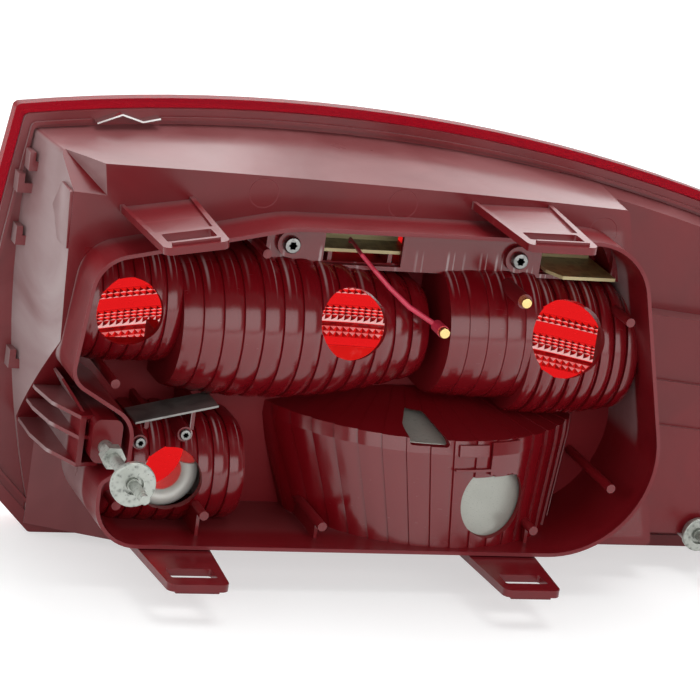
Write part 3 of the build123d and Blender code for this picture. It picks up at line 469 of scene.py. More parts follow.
@dataclass(frozen=True)
class HousingPlastic(MouldedPlastic):
    """The housing's moulding: deep red painted shade in the tub, glossy chambers, and painted sheen and
    highlights.

    Flutes are left end, right end, number, and the heights where the painted highlight starts and is full,
    and marks are X and Z, all in millimetres.
    """

    coat_roughness: float = 0.17
    flow_range: Span = (0.25, 0.8)
    gloss_range: Span = (0.85, 1.2)
    scuffing: float = 0.12
    specular: float = 0.3
    # painted shade: a darker, deeper red inside the tub, which the ejector marks' discs also take
    inside: Colour = (0.19, 0.0035, 0.0075)
    wall_roughness: float = 0.55
    # painted highlight: a lighter red along the rim's edge and round the ejector marks
    edge: Colour = (0.30, 0.055, 0.065)
    rim_highlight_share: float = 0.3
    chamber_roughness: float = 0.2
    chamber_coat: float = 0.85
    chamber_facing: Span = (-0.4, -0.08)
    chamber_depth: Span = mm(66, 72)
    # painted highlight: pale lines on the flute tops, which stand for glossy reflections
    flute_highlight: Colour = (0.70, 0.56, 0.56)
    flute_highlight_share: float = 0.6
    # painted sheen: a pale colour on left-facing, up-facing and left-end outer walls, which stands for
    # reflected light
    painted_sheen: Colour = (0.52, 0.45, 0.45)
    painted_sheen_range: Span = (0.6, 1.2)
    painted_sheen_left: float = 0.62
    left_facing: Span = (-0.9, -0.35)
    left_depth: Span = mm(37, 41)
    left_fade: Span = (1.0, 0.7)
    fade_height: Span = mm(60, 125)
    painted_sheen_end: float = 0.06
    end_reach: Span = mm(-34, -16)
    painted_sheen_top: float = 0.16
    top_facing: Span = (0.75, 0.97)
    top_depth: Span = mm(30, 40)
    wave_scale: float = 75.0
    wave_depth: float = 0.00022
    mark_depth: float = 0.0002
    disc_share: float = 0.35
    ring_highlight_share: float = 0.3
    flutes: tuple[tuple[float, ...], ...] = (
        (-12.0, 34.0, 6, 73.0, 84.0),
        (34.0, 158.0, 13, 68.0, 82.0),
        (165.0, 206.0, 5, 71.0, 82.0),
        (206.0, 264.0, 8, 65.0, 77.0),
        (5.0, 76.0, 9, -11.0, 3.0),
    )
    marks: tuple[Span, ...] = ((67.1, 117.1), (135.5, 115.3), (238.1, 106.8))

    def work(self, paint: Paint) -> None:
        """Colour the regions, with painted shade in the tub and painted highlights and sheen, and add gloss,
        waves and marks.

        Args:
            paint: The nodes.
        """
        surface = paint.effect(Effect.MOULDED, Flow_Scale=self.flow_scale)
        tub = paint.effect(Effect.TUB)
        flow = paint.ramp(surface["Flow"], *self.flow_range)
        facing = paint.drop(paint.axes(paint.normal())[1], *self.chamber_facing)
        depth = paint.drop(paint.axes(paint.place())[1], *self.chamber_depth)
        gloss = paint.product(tub["Inside"], facing, depth)
        disc, ring = self.pressed(paint)
        # painted sheen on the outer walls
        painted_sheen_share = paint.product(self.painted_sheen_share(paint), tub["Outer"], paint.span(flow, *self.painted_sheen_range))
        tone = paint.mix(flow, self.deep, self.colour)
        for share, colour in (
            (paint.product(disc, self.disc_share), self.inside),
            # painted shade inside the tub
            (tub["Inside"], self.inside),
            # painted highlight along the rim's edge
            (paint.product(tub["Rim"], self.rim_highlight_share), self.edge),
            (painted_sheen_share, self.painted_sheen),
            # painted highlight along the flutes
            (paint.product(self.flute_highlights(paint), gloss, self.flute_highlight_share), self.flute_highlight),
            # painted highlight round the ejector marks
            (paint.product(ring, self.ring_highlight_share), self.edge),
        ):
            tone = paint.mix(share, tone, colour)
        plain = paint.span(tub["Inside"], self.roughness, self.wall_roughness)
        smooth = paint.product(gloss, paint.math("SUBTRACT", plain, self.chamber_roughness))
        patchy = paint.product(paint.math("SUBTRACT", plain, smooth), paint.span(flow, *self.gloss_range))
        scuffs = paint.product(surface["Scuff"], self.scuffing)
        outer, chambers = paint.product(tub["Outer"], self.coat), paint.product(gloss, self.chamber_coat)
        paint.set(Base_Color=tone, Roughness=paint.math("ADD", patchy, scuffs))
        paint.set(Coat_Weight=paint.math("ADD", outer, chambers), Coat_Roughness=self.coat_roughness)
        paint.set(Specular_IOR_Level=self.specular)
        waves = paint.product(paint.noise(paint.place(), self.wave_scale, 1.0), self.wave_depth / self.peel)
        sunk = paint.product(disc, self.mark_depth / self.peel)
        height = paint.math("SUBTRACT", paint.math("ADD", surface["Height"], waves), sunk)
        paint.bump(height, self.peel)

    def flute_highlights(self, paint: Paint) -> Value:
        """Share of the painted highlights, pale lines on the flutes of all chambers.

        Args:
            paint: The nodes.

        Returns:
            The share.
        """
        share = 0.0
        for left, right, count, low, high in self.flutes:
            ends = {"Left": left * MM, "Right": right * MM, "Low": low * MM, "High": high * MM}
            flute_highlight = paint.effect(Effect.FLUTES, Pitch=(right - left) / count * MM, **ends)["Worn"]
            share = paint.math("MAXIMUM", share, flute_highlight)
        return share

    def pressed(self, paint: Paint) -> tuple[Value, Value]:
        """Discs and rings of the ejector marks.

        Args:
            paint: The nodes.

        Returns:
            The masks of the discs and of their rings.
        """
        disc, ring = 0.0, 0.0
        for x, z in self.marks:
            mark = paint.effect(Effect.MARK, X=x * MM, Z=z * MM)
            disc = paint.math("MAXIMUM", disc, mark["Disc"])
            ring = paint.math("MAXIMUM", ring, mark["Ring"])
        return disc, ring

    def painted_sheen_share(self, paint: Paint) -> Value:
        """Share of the painted sheen, a pale colour that stands for reflected light, on the left wall, the
        left end and the top.

        Args:
            paint: The nodes.

        Returns:
            The share.
        """
        x, y, z = paint.axes(paint.place())
        right, _, up = paint.axes(paint.normal())
        fade = paint.span(paint.ramp(z, *self.fade_height), *self.left_fade)
        wall = paint.product(paint.drop(right, *self.left_facing), paint.ramp(y, *self.left_depth))
        left = paint.product(wall, fade, self.painted_sheen_left)
        end = paint.product(paint.drop(x, *self.end_reach), self.painted_sheen_end)
        top = paint.product(paint.ramp(up, *self.top_facing), paint.ramp(y, *self.top_depth), self.painted_sheen_top)
        return paint.math("ADD", paint.math("MAXIMUM", left, end), top)


@dataclass(frozen=True)
class PrismPlastic(Finish):
    """Red plastic of the small prisms, with a painted glint and painted shade on each facet and a painted
    glow, which stand for light through the lens from the front.
    """

    # painted highlight colour of the brightest facets, and painted shade of the darkest
    bright: Colour = (0.95, 0.62, 0.60)
    deep: Colour = (0.10, 0.002, 0.003)
    # painted glow of the facets, which stands for light through the lens
    painted_glow: float = 0.6
    grain_scale: float = 260.0
    grain_share: float = 0.35

    def work(self, paint: Paint) -> None:
        """Paint each facet's glint and shade, and a glow.

        Args:
            paint: The nodes.
        """
        painted_glint = paint.add("Attribute", {"attribute_name": PAINTED_GLINT}).outputs["Fac"]
        grain = paint.math("SUBTRACT", paint.noise(paint.place(), self.grain_scale), 0.5)
        share = paint.math("ADD", painted_glint, paint.product(grain, self.grain_share))
        tone = paint.mix(paint.ramp(share, 0.0, 0.5), self.deep, self.colour)
        tone = paint.mix(paint.ramp(share, 0.5, 1.0), tone, self.bright)
        paint.set(Base_Color=tone, Emission_Color=tone, Emission_Strength=self.painted_glow)


@dataclass(frozen=True)
class ClearPlastic(Finish):
    """Clear or tinted plastic that light goes through."""

    ior: float = 1.49
    wave: float = 0.00002
    flow_scale: float = 25.0
    peel_scale: float = 300.0
    shade: float = 0.8
    shade_share: float = 0.25
    scuffing: float = 0.08

    def work(self, paint: Paint) -> None:
        """Let light through, and add slow shades and scuffs.

        Args:
            paint: The nodes.
        """
        surface = paint.effect(Effect.MOULDED, Flow_Scale=self.flow_scale, Peel_Scale=self.peel_scale)
        darker = tuple(channel * self.shade for channel in self.colour)
        tone = paint.mix(paint.span(surface["Flow"], 0.0, self.shade_share), self.colour, darker)
        rough = paint.math("ADD", paint.product(surface["Scuff"], self.scuffing), self.roughness)
        paint.set(Transmission_Weight=1.0, IOR=self.ior, Roughness=rough, Base_Color=self.tint(paint, tone))
        paint.bump(surface["Height"], self.wave)

    def tint(self, paint: Paint, tone: Value) -> Value:
        """The colour as it is, for a finish that is the same all over."""
        return tone


@dataclass(frozen=True)
class LensPlastic(ClearPlastic):
    """Red lens plastic with a painted glow that stands for light through it, dark along its skirt and glossy
    on its front.
    """

    skirt: Colour = (0.05, 0.0008, 0.0015)
    # painted glow: emission that stands for light through the lens, brightest in the line by the flange
    painted_line_glow: Colour = (0.06, 0.0005, 0.007)
    painted_band_glow: Colour = (0.05, 0.0005, 0.004)
    painted_glow: Colour = (0.06, 0.0008, 0.0008)
    line_end: float = 89.6 * MM
    skirt_end: float = 95.5 * MM
    blend: float = 1.5 * MM
    front_coat: float = 0.8
    front_facing: Span = (0.05, 0.25)
    coat_roughness: float = 0.04

    def tint(self, paint: Paint, tone: Value) -> Value:
        """Darken the skirt, paint a glow on the plastic, brightest in a line by the flange, and give its
        front a gloss.

        Args:
            paint: The nodes.
            tone: The plain colour.

        Returns:
            The colour of the surface.
        """
        depth = paint.axes(paint.place())[1]
        line = paint.drop(depth, self.line_end, self.line_end + self.blend)
        skirt = paint.drop(depth, self.skirt_end, self.skirt_end + self.blend)
        # painted glow
        painted_glow = paint.mix(skirt, self.painted_glow, paint.mix(line, self.painted_band_glow, self.painted_line_glow))
        front = paint.ramp(paint.axes(paint.normal())[1], *self.front_facing)
        paint.set(Emission_Color=painted_glow, Emission_Strength=1.0)
        paint.set(Coat_Weight=paint.product(front, self.front_coat), Coat_Roughness=self.coat_roughness)
        return paint.mix(skirt, tone, self.skirt)


@dataclass(frozen=True)
class PlatedMetal(Finish):
    """Mottled plated steel."""

    dark: Colour = (0.2, 0.2, 0.19)
    mottle_scale: float = 420.0
    mottle_range: Span = (0.25, 0.7)
    gloss_range: Span = (1.4, 0.7)
    grain: float = 0.00008
    pitting: float = 1.0
    metallic: float = 1.0

    def work(self, paint: Paint) -> None:
        """Add mottling and pits.

        Args:
            paint: The nodes.
        """
        surface = paint.effect(Effect.PLATED, Mottle_Scale=self.mottle_scale)
        tone = paint.mix(paint.ramp(surface["Mottle"], *self.mottle_range), self.dark, self.colour)
        tone = paint.mix(paint.product(surface["Pits"], self.pitting), tone, self.dark)
        rough = paint.span(surface["Mottle"], *self.around(self.gloss_range))
        paint.set(Metallic=self.metallic, Base_Color=tone, Roughness=rough)
        paint.bump(surface["Height"], self.grain * self.pitting)


@dataclass(frozen=True)
class DrawnMetal(Finish):
    """Rolled, turned or metallised bright metal with fine lines."""

    stain: Colour = (0.35, 0.35, 0.33)
    stain_range: Span = (0.35, 0.75)
    gloss_range: Span = (0.7, 1.3)
    line_depth: float = 0.00001
    staining: float = 0.35
    metallic: float = 1.0

    def work(self, paint: Paint) -> None:
        """Add lines and stains.

        Args:
            paint: The nodes.
        """
        surface = paint.effect(Effect.DRAWN)
        share = paint.product(paint.ramp(surface["Stain"], *self.stain_range), self.staining)
        rough = paint.span(surface["Lines"], *self.around(self.gloss_range))
        tone = paint.mix(share, self.colour, self.stain)
        paint.set(Metallic=self.metallic, Base_Color=tone, Roughness=rough)
        paint.bump(surface["Lines"], self.line_depth)


@dataclass(frozen=True)
class CircuitBoard(Finish):
    """Resin board with a lacquered face and a pale sawn edge."""

    edge: Colour = (0.62, 0.52, 0.27)
    track: Colour = (0.32, 0.27, 0.1)
    track_scale: float = 160.0
    track_spread: float = 0.6
    track_range: Span = (0.3, 0.36)
    track_share: float = 0.6
    weave_scale: float = 900.0
    weave_share: float = 0.3
    weave_depth: float = 0.00003
    face_range: Span = (0.4, 0.6)

    def work(self, paint: Paint) -> None:
        """Add tracks and weave to the face, and the edge.

        Args:
            paint: The nodes.
        """
        place = paint.place()
        square, scale = {"distance": "CHEBYCHEV"}, self.track_scale
        cells = paint.add("TexVoronoi", square, Vector=place, Scale=scale, Randomness=self.track_spread)
        tracks = paint.ramp(cells.outputs["Distance"], *self.track_range)
        weave = paint.noise(place, self.weave_scale)
        face = paint.mix(paint.product(tracks, self.track_share), self.colour, self.track)
        face = paint.mix(paint.product(weave, self.weave_share), face, self.edge)
        level = paint.ramp(paint.math("ABSOLUTE", paint.axes(paint.normal())[2]), *self.face_range)
        paint.set(Base_Color=paint.mix(level, self.edge, face))
        paint.bump(weave, self.weave_depth)


FINISHES: tuple[Finish, ...] = (
    HousingPlastic(
        "housing_maroon", (0.205, 0.0085, 0.0135), 0.32, deep=(0.155, 0.0055, 0.009), coat=0.32
    ),
    LensPlastic("lens_red", (0.52, 0.008, 0.009), 0.25, ior=1.12),
    ClearPlastic("lens_clear", (0.95, 0.96, 0.96), 0.03),
    ClearPlastic("reflex_red", (0.9, 0.05, 0.04), 0.08),
    PrismPlastic("prism_red", (0.80, 0.012, 0.010), 0.2),
    MouldedPlastic("seal_black", (0.02, 0.02, 0.02), 0.6, deep=(0.01, 0.01, 0.01), coat=0.0),
    ClearPlastic("guide_clear", (0.93, 0.95, 0.94), 0.06),
    DrawnMetal("bright_metal", (0.46, 0.47, 0.42), 0.3, stain=(0.37, 0.38, 0.335), metallic=0.3),
    # painted light: a lighter copy of bright_metal for the fog reflector, which shares its slot with the
    # other reflector
    DrawnMetal("fog_metal_lit_copy", (0.80, 0.80, 0.74), 0.42, stain=(0.66, 0.66, 0.60), metallic=0.15),
    DrawnMetal(
        "shield_steel", (0.30, 0.29, 0.275), 0.32, stain=(0.10, 0.094, 0.088), staining=0.8, metallic=0.6
    ),
    PlatedMetal("screw_steel", (0.28, 0.28, 0.27), 0.34, dark=(0.16, 0.16, 0.155), pitting=0.3),
    PlatedMetal("stud_zinc", (0.45, 0.47, 0.43), 0.5, dark=(0.21, 0.22, 0.205), metallic=0.8),
    DrawnMetal("contact_brass", (0.86, 0.62, 0.26), 0.25, stain=(0.55, 0.36, 0.12)),
    MouldedPlastic("lead_red", (0.78, 0.05, 0.11), 0.35, deep=(0.62, 0.03, 0.07), flow_scale=60.0),
    CircuitBoard("board_olive", (0.14, 0.115, 0.035), 0.35),
    MouldedPlastic("led_body", (0.8, 0.75, 0.6), 0.3, deep=(0.65, 0.6, 0.45)),
    DrawnMetal("clip_steel", (0.72, 0.71, 0.70), 0.22, stain=(0.45, 0.4, 0.38)),
)


class Palette:
    """All finishes of the lamp, by name."""

    def __init__(self) -> None:
        """Make no material until a piece asks for it."""
        self.finishes = {finish.name: finish for finish in FINISHES}
        self.made: dict[str, bpy.types.Material] = {}

    def dress(self, piece: bpy.types.Object, name: str) -> None:
        """Give a piece a finish, whose material is made on first use.

        Args:
            piece: The piece.
            name: Name of the finish.
        """
        if name not in self.made:
            self.made[name] = self.finishes[name].make()
        piece.data.materials.clear()
        piece.data.materials.append(self.made[name])


def make_object(name: str, mesh: Mesh) -> bpy.types.Object:
    """Make an object of a bmesh, with its place in its mesh.

    Args:
        name: Name of the object.
        mesh: The shape, which is freed.

    Returns:
        The object.
    """
    data = bpy.data.meshes.new(name)
    mesh.to_mesh(data)
    mesh.free()
    made = bpy.data.objects.new(name, data)
    bpy.context.scene.collection.objects.link(made)
    return made


def add_piece(name: str, mesh: Mesh, smooth_angle: float = 0.6) -> bpy.types.Object:
    """Make a piece that rides on the lamp.

    Args:
        name: Name of the piece.
        mesh: The shape, which is freed.
        smooth_angle: Faces that meet at less than this angle, in radians, are shaded smooth.

    Returns:
        The piece.
    """
    piece = make_object(name, mesh)
    piece.data.shade_smooth()
    piece.data.set_sharp_from_angle(angle=smooth_angle)
    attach(piece, BODY)
    log.info("piece %s: %d faces", name, len(piece.data.polygons))
    return piece


def draw_out(mesh: Mesh, way: Place) -> list[bmesh.types.BMVert]:
    """Draw a flat mesh out to a block.

    Args:
        mesh: The mesh, which stays as one end.
        way: How far and which way the other end goes.

    Returns:
        The vertices of the other end.
    """
    drawn = bmesh.ops.extrude_face_region(mesh, geom=list(mesh.faces), use_keep_orig=True)["geom"]
    moved = [item for item in drawn if isinstance(item, bmesh.types.BMVert)]
    bmesh.ops.translate(mesh, verts=moved, vec=way)
    return moved


def turn_outwards(mesh: Mesh) -> Mesh:
    """Turn the faces of a closed shell outwards, and give it back."""
    bmesh.ops.recalc_face_normals(mesh, faces=list(mesh.faces))
    return mesh


@dataclass
class CadNodes:
    """The CAD nodes that keep their own shape."""

    palette: Palette
    own_finish: dict[str, str] = field(default_factory=lambda: {"fog_reflector": "fog_metal_lit_copy"})

    def dress(self) -> None:
        """Give each node the finish of its slot; the fog reflector gets a lighter copy of its slot's finish,
        which is painted light.
        """
        for entry in frame["record"]["subparts"]:
            name, slot = entry["node"], entry["material_slot"]
            node = frame["nodes"][name]
            self.palette.dress(node, self.own_finish.get(name, slot))
            log.info("node %s: %s", name, slot)


class Facet(Enum):
    """Sides of a small prism, in the order of a strip's painted glints."""

    BELOW = 0
    ABOVE = 1
    LEFT = 2
    RIGHT = 3


@dataclass(frozen=True)
class PrismRow:
    """A strip of prisms along the lens, in millimetres, with its lower and upper edge from the band's line.

    Its painted glints colour each side of its facets, from painted shade at 0 to a white painted highlight
    at 1.
    """

    low: float
    high: float
    rows: int
    rise: float
    painted_glints: tuple[float, ...]
    start: float = -14.0
    end: float = 345.0

    def columns(self, pitch: float) -> int:
        """How many prisms of a width stand side by side."""
        return max(round((self.end - self.start) / pitch), 1)


@dataclass
class PrismBand:
    """Rows of small prisms, with a pitch in millimetres, inside the lens, seen through the bulb holes."""

    palette: Palette
    sphere_radius: float = 746.6 * MM
    sphere_centre: Vector = field(default_factory=lambda: Vector((175.0, -608.0, 36.0)) * MM)
    pitch: float = 3.45
    base: float = 0.6 * MM
    crest: float = 27.5 * MM
    crest_x: float = 115.0 * MM
    sag: float = 11.0 * MM
    sag_reach: float = 150.0 * MM
    smooth_angle: float = 0.1
    strips: tuple[PrismRow, ...] = (
        PrismRow(14.0, 18.4, 2, 1.2, (0.85, 0.45, 0.1, 0.3)),
        PrismRow(2.7, 7.7, 3, 1.0, (0.9, 0.5, 0.08, 0.3)),
        PrismRow(0.0, 2.7, 1, 1.2, (1.0, 0.25, 0.1, 0.95)),
        PrismRow(-0.7, 0.0, 1, 0.2, (1.0, 1.0, 1.0, 1.0)),
        PrismRow(-3.0, -1.2, 1, 0.2, (0.2, 0.12, 0.16, 0.16)),
        PrismRow(-8.6, -3.2, 2, 1.2, (0.28, 0.72, 0.2, 0.45)),
        PrismRow(-27.0, -13.0, 1, 0.1, (0.52, 0.5, 0.5, 0.5), 138.0, 186.0),
    )

    def facet(self, face: bmesh.types.BMFace, peak: bmesh.types.BMVert) -> Facet:
        """Which side of its prism a face is.

        Args:
            face: The face.
            peak: The prism's peak.

        Returns:
            The side.
        """
        away = face.calc_center_median() - peak.co
        if abs(away.y) > abs(away.x):
            return Facet.ABOVE if away.y > 0 else Facet.BELOW
        return Facet.RIGHT if away.x > 0 else Facet.LEFT

    def line(self, x: float) -> float:
        """Height of the band's line at a place along the lens."""
        return self.crest - self.sag * ((x - self.crest_x) / self.sag_reach) ** 2

    def lay(self, mesh: Mesh, row: PrismRow) -> None:
        """Lay a flat strip on the inside of the lens.

        Args:
            mesh: The strip, from 0 to the number of columns along X and of rows along Y.
            row: Its place on the lens.
        """
        columns = row.columns(self.pitch)
        for vert in mesh.verts:
            x = (row.start + vert.co.x / columns * (row.end - row.start)) * MM
            z = self.line(x) + (row.low + vert.co.y / row.rows * (row.high - row.low)) * MM
            across = Vector((x - self.sphere_centre.x, z - self.sphere_centre.z))
            depth = math.sqrt(self.sphere_radius**2 - across.length_squared)
            vert.co = Vector((x, self.sphere_centre.y + depth - vert.co.z, z))

    def strip(self, row: PrismRow) -> Mesh:
        """One strip of prism rows, laid on the lens.

        Args:
            row: The strip.

        Returns:
            The strip as a closed shell, with the painted glint of each face.
        """
        columns = row.columns(self.pitch)
        mesh = bmesh.new()
        painted_glint = mesh.faces.layers.float.new(PAINTED_GLINT)
        bmesh.ops.create_grid(mesh, x_segments=columns, y_segments=row.rows, size=0.5)
        bmesh.ops.translate(mesh, verts=list(mesh.verts), vec=(0.5, 0.5, 0.0))
        bmesh.ops.scale(mesh, verts=list(mesh.verts), vec=(columns, row.rows, 1.0))
        moved = set(draw_out(mesh, (0.0, 0.0, self.base)))
        tops = [face for face in mesh.faces if all(vert in moved for vert in face.verts)]
        peaks = bmesh.ops.poke(mesh, faces=tops, offset=row.rise * MM, center_mode="MEAN")["verts"]
        for peak in peaks:
            for face in peak.link_faces:
                # painted highlight and painted shade by the side each facet faces
                face[painted_glint] = row.painted_glints[self.facet(face, peak).value]
        self.lay(mesh, row)
        return turn_outwards(mesh)

    def build(self) -> None:
        """Make the strips and dress them."""
        for number, row in enumerate(self.strips):
            piece = add_piece(f"lens_prisms_{number}", self.strip(row), self.smooth_angle)
            self.palette.dress(piece, "prism_red")


@dataclass
class StarScrews:
    """Pan head screws with a star drive, in millimetres, which stand for a node of plain screws.

    The profiles run from the drive's rim to the seat, and from there to the shank's end, as shares of
    radius and height or length.
    """

    palette: Palette
    node: str
    places: tuple[Span, ...]
    seat: float
    head_radius: float
    head_height: float
    shank_radius: float
    shank_length: float
    head_profile: tuple[Span, ...] = (
        (0.66, 1.0), (0.84, 0.93), (0.96, 0.72), (1.0, 0.42), (1.0, 0.06), (0.97, 0.0)
    )
    shank_profile: tuple[Span, ...] = ((1.0, 0.0), (1.0, 0.85), (0.4, 1.0), (0.0, 1.0))
    star_share: float = 0.52
    star_depth_share: float = 0.6
    steps: int = 24
    lobes: tuple[float, ...] = (1.0, 0.84, 0.68, 0.84)
    merge_reach: float = 1e-5

    def profile(self) -> list[Span]:
        """Half section of a screw, as radius and height above the seat."""
        head = [(self.head_radius * out, self.head_height * up) for out, up in self.head_profile]
        return head + [(self.shank_radius * out, -self.shank_length * up) for out, up in self.shank_profile]

    def screw(self, x: float, z: float) -> Mesh:
        """One screw.

        Args:
            x: Place of its axis along X.
            z: Height of its axis.

        Returns:
            The screw as a closed shell.
        """
        mesh = bmesh.new()
        verts = [mesh.verts.new((radius, -height, 0.0)) for radius, height in self.profile()]
        edges = [mesh.edges.new(pair) for pair in zip(verts, verts[1:])]
        turn = {"cent": (0.0, 0.0, 0.0), "axis": (0.0, 1.0, 0.0), "angle": 2 * math.pi}
        bmesh.ops.spin(mesh, geom=verts + edges, steps=self.steps, use_merge=True, **turn)
        bmesh.ops.remove_doubles(mesh, verts=list(mesh.verts), dist=self.merge_reach)
        rim = [edge for edge in mesh.edges if edge.is_boundary]
        star_radius = self.head_radius * self.star_share
        star = bmesh.ops.create_circle(mesh, segments=self.steps, radius=star_radius)["verts"]
        for number, vert in enumerate(star):
            vert.co *= self.lobes[number % len(self.lobes)]
        bmesh.ops.rotate(mesh, verts=star, matrix=Matrix.Rotation(math.pi / 2, 3, "X"))
        bmesh.ops.translate(mesh, verts=star, vec=(0.0, -self.head_height, 0.0))
        mouth = list(dict.fromkeys(edge for vert in star for edge in vert.link_edges))
        sunk = bmesh.ops.extrude_edge_only(mesh, edges=mouth)["geom"]
        floor = [item for item in sunk if isinstance(item, bmesh.types.BMVert)]
        floor_edges = [item for item in sunk if isinstance(item, bmesh.types.BMEdge) and item.is_boundary]
        bmesh.ops.translate(mesh, verts=floor, vec=(0.0, self.head_height * self.star_depth_share, 0.0))
        bmesh.ops.edgeloop_fill(mesh, edges=[edge for edge in floor_edges if set(edge.verts) <= set(floor)])
        bmesh.ops.bridge_loops(mesh, edges=rim + mouth)
        bmesh.ops.translate(mesh, verts=list(mesh.verts), vec=(x, self.seat, z))
        bmesh.ops.scale(mesh, verts=list(mesh.verts), vec=(MM, MM, MM))
        return turn_outwards(mesh)

    def build(self) -> None:
        """Make the screws, dress them and put them in the node's place."""
        for number, (x, z) in enumerate(self.places):
            piece = add_piece(f"{self.node}_{number}", self.screw(x, z))
            self.palette.dress(piece, "screw_steel")
            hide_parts(self.node)


@dataclass
class WallDetails:
    """Small mouldings on the left end of the housing, in millimetres: a raised panel and a snap hook."""

    palette: Palette
    panel: tuple[Place, ...] = (
        (-24.2, 50.0, 115.0), (-25.2, 68.0, 88.3), (-21.0, 40.3, 86.0), (-22.4, 40.3, 113.0)
    )
    panel_rise: float = 2.2
    panel_sink: float = 1.0
    panel_bevel: float = 0.4
    outward: Vector = field(default_factory=lambda: Vector((-0.98, -0.2, 0.0)))
    hook: tuple[Span, ...] = (
        (-35.0, 120.5), (-35.0, 111.5), (-26.5, 111.5), (-26.5, 115.5), (-32.0, 116.0), (-32.0, 120.5)
    )
    hook_near: float = 76.0
    hook_far: float = 86.5
    hook_bevel: float = 0.35

    def raised(self, corners: list[Vector], rise: Vector, bevel: float) -> Mesh:
        """A flat outline drawn out to a block with broken edges.

        Args:
            corners: The outline.
            rise: How far and which way it is drawn out.
            bevel: Width of the broken edges.

        Returns:
            The block as a closed shell.
        """
        mesh = bmesh.new()
        mesh.faces.new([mesh.verts.new(corner) for corner in corners])
        draw_out(mesh, rise)
        turn_outwards(mesh)
        bmesh.ops.bevel(
            mesh, geom=list(mesh.edges), offset=bevel, affect="EDGES", segments=2, profile=0.5, material=-1
        )
        bmesh.ops.scale(mesh, verts=list(mesh.verts), vec=(MM, MM, MM))
        return turn_outwards(mesh)

    def build(self) -> None:
        """Make the mouldings and dress them as the housing."""
        foot = [Vector(corner) - self.outward * self.panel_sink for corner in self.panel]
        rise = self.outward * (self.panel_rise + self.panel_sink)
        outline = [Vector((x, self.hook_far, z)) for x, z in self.hook]
        reach = Vector((0.0, self.hook_near - self.hook_far, 0.0))
        shapes = {
            "left_wall_panel": self.raised(foot, rise, self.panel_bevel),
            "flange_hook_upper": self.raised(outline, reach, self.hook_bevel),
        }
        for name, mesh in shapes.items():
            piece = add_piece(name, mesh)
            self.palette.dress(piece, "housing_maroon")


@dataclass
class BoardShroud:
    """Thin comb on an LED board, in millimetres, that keeps the light of the diodes in front of it."""

    palette: Palette
    name: str
    left: float
    right: float
    depth: float
    foot: float
    height: float = 5.0
    thickness: float = 0.8
    columns: int = 19
    notch: float = 0.7
    notch_cycle: int = 4
    notched: tuple[int, ...] = (1, 2)

    def comb(self) -> Mesh:
        """The comb, with notches along its top.

        Returns:
            The comb as a closed shell.
        """
        mesh = bmesh.new()
        bmesh.ops.create_grid(mesh, x_segments=self.columns, y_segments=1, size=0.5)
        for vert in mesh.verts:
            across, up = vert.co.x + 0.5, vert.co.y + 0.5
            cut = vert.co.y > 0 and round(across * self.columns) % self.notch_cycle in self.notched
            x = self.left + across * (self.right - self.left)
            z = self.foot + up * self.height - (self.notch if cut else 0.0)
            vert.co = Vector((x, self.depth, z)) * MM
        draw_out(mesh, (0.0, self.thickness * MM, 0.0))
        return turn_outwards(mesh)

    def build(self) -> None:
        """Make the comb and dress it."""
        piece = add_piece(self.name, self.comb())
        self.palette.dress(piece, "board_olive")


@dataclass(frozen=True)
class Lamp:
    """A soft lamp, with the width, height and level of its face. Level 1 is plain white."""

    name: str
    place: Place
    width: float
    height: float
    level: float

    def hang(self, aim: Vector) -> None:
        """Hang the lamp, out of the camera's sight.

        Args:
            aim: What it points at.
        """
        data = bpy.data.lights.new(self.name, "AREA")
        data.shape = "RECTANGLE"
        data.size = self.width
        data.size_y = self.height
        data.energy = self.level * math.pi * self.width * self.height
        lamp = bpy.data.objects.new(self.name, data)
        lamp.location = self.place
        lamp.rotation_mode = "QUATERNION"
        lamp.rotation_quaternion = (aim - Vector(self.place)).to_track_quat("-Z", "Y")
        lamp.visible_camera = False
        bpy.context.scene.collection.objects.link(lamp)


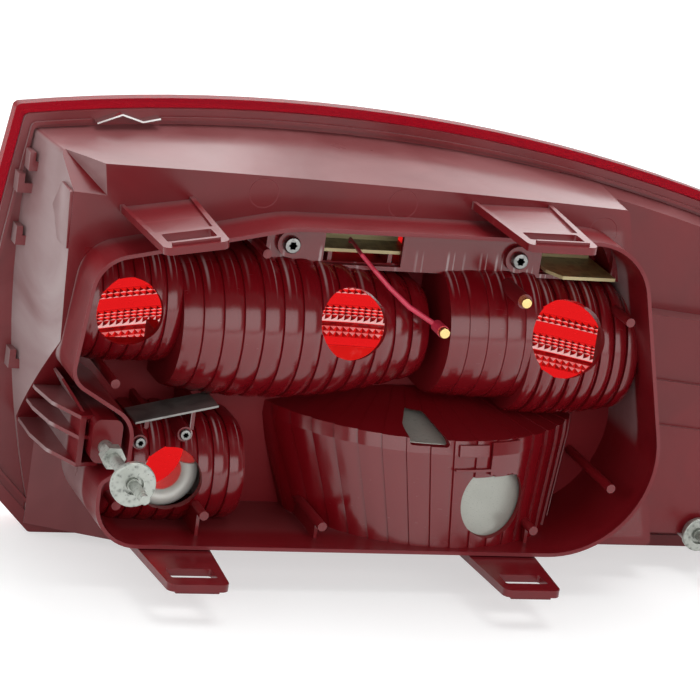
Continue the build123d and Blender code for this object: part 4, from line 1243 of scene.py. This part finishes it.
@dataclass
class Studio:
    """Floor, background, lamps and camera."""

    floor_gap: float = 0.0005
    floor_size: float = 30.0
    floor_colour: Colour = (0.56, 0.56, 0.56)
    floor_roughness: float = 0.9
    floor_near: float = 0.56
    floor_far: float = 0.95
    near_reach: float = 0.25
    far_reach: float = 1.3
    world_dark: float = 0.12
    world_bright: float = 1.0
    world_turn: Span = (-0.5, 0.35)
    lens_mm: float = 202.63
    sensor_mm: float = 36.0
    sight: float = 100.0
    middle: Place = (0.14, 0.06, 0.04)
    camera_place: Place = (-0.5068, -1.6101, 0.5769)
    camera_right: Place = (0.93971, -0.31113, 0.14191)
    camera_up: Place = (-0.03693, 0.32022, 0.94662)
    lamps: tuple[Lamp, ...] = (
        Lamp("front", (0.3, -2.0, 0.75), 3.4, 1.3, 1.9),
        Lamp("above", (0.25, 0.15, 1.35), 1.2, 0.6, 4.0),
        Lamp("left", (-1.5, -0.4, 0.7), 1.0, 1.0, 1.8),
        Lamp("behind", (0.7, 1.9, 0.85), 2.4, 1.0, 1.3),
        Lamp("back_left", (0.45, 1.45, 1.5), 0.5, 0.6, 4.5),
    )

    def world(self) -> None:
        """White behind and above the lamp, darker behind the camera, and white where the camera sees it."""
        world = bpy.data.worlds.new("studio")
        bpy.context.scene.world = world
        world.use_nodes = True
        graph = Graph(world.node_tree)
        light = world.node_tree.nodes["Background"]
        light.inputs["Color"].default_value = (1.0, 1.0, 1.0, 1.0)
        back = graph.axes(graph.add("TexCoord").outputs["Generated"])[1]
        strength = graph.span(graph.ramp(back, *self.world_turn), self.world_dark, self.world_bright)
        camera = graph.add("LightPath").outputs[Ray.CAMERA.value]
        graph.feed(light.inputs["Strength"], graph.math("MAXIMUM", strength, camera))

    def floor(self) -> None:
        """Pale floor that keeps the lamp's shadow and fades to plain white away from the lamp."""
        low, high = cad_box
        middle = (low + high) / 2
        mesh = bmesh.new()
        bmesh.ops.create_grid(mesh, x_segments=1, y_segments=1, size=self.floor_size / 2)
        bmesh.ops.translate(mesh, verts=list(mesh.verts), vec=(middle.x, middle.y, low.z - self.floor_gap))
        floor = make_object("floor", mesh)
        paint = Paint("floor")
        centred = paint.add("VectorMath", {"operation": "SUBTRACT"})
        paint.feed(centred.inputs[0], paint.place())
        paint.feed(centred.inputs[1], (middle.x, middle.y, low.z))
        away = paint.add("VectorMath", {"operation": "LENGTH"}, Vector=centred.outputs[0])
        far = paint.ramp(away.outputs["Value"], self.near_reach, self.far_reach)
        path, seen = paint.add("LightPath").outputs, 0.0
        for ray in Ray:
            seen = paint.math("MAXIMUM", seen, path[ray.value])
        white = paint.product(paint.span(far, self.floor_near, self.floor_far), seen)
        paint.set(Base_Color=self.floor_colour, Roughness=self.floor_roughness, Specular_IOR_Level=0.0)
        paint.set(Emission_Color=white, Emission_Strength=1.0)
        floor.data.materials.append(paint.material)

    def camera(self) -> None:
        """Camera at the photograph's viewing angle."""
        data = bpy.data.cameras.new("camera")
        data.lens = self.lens_mm
        data.sensor_width = self.sensor_mm
        data.clip_end = self.sight
        camera = bpy.data.objects.new("camera", data)
        right, up = Vector(self.camera_right), Vector(self.camera_up)
        turn = Matrix((right, up, right.cross(up))).transposed()
        camera.matrix_world = Matrix.Translation(self.camera_place) @ turn.to_4x4()
        bpy.context.scene.collection.objects.link(camera)
        bpy.context.scene.camera = camera

    def build(self) -> None:
        """Set the whole studio up."""
        bpy.context.scene.view_settings.view_transform = "Standard"
        self.world()
        self.floor()
        for lamp in self.lamps:
            lamp.hang(Vector(self.middle))
        self.camera()


def main() -> None:
    """Build the looks in order."""
    palette = Palette()
    CadNodes(palette).dress()
    PrismBand(palette).build()
    WallDetails(palette).build()
    BoardShroud(palette, "led_shroud_left", left=102.0, right=148.0, depth=72.0, foot=88.0).build()
    BoardShroud(palette, "led_shroud_right", left=218.0, right=247.0, depth=72.0, foot=84.0).build()
    StarScrews(
        palette, "board_screws", ((87.0, 90.7), (201.4, 88.3)), seat=49.0,
        head_radius=4.2, head_height=3.0, shank_radius=1.6, shank_length=11.0,
    ).build()
    StarScrews(
        palette, "chamber_screws", ((21.9, -3.6), (43.2, 1.0)), seat=34.0,
        head_radius=2.8, head_height=1.8, shank_radius=1.2, shank_length=9.0,
    ).build()
    Studio().build()


if __name__ == "__main__":
    main()
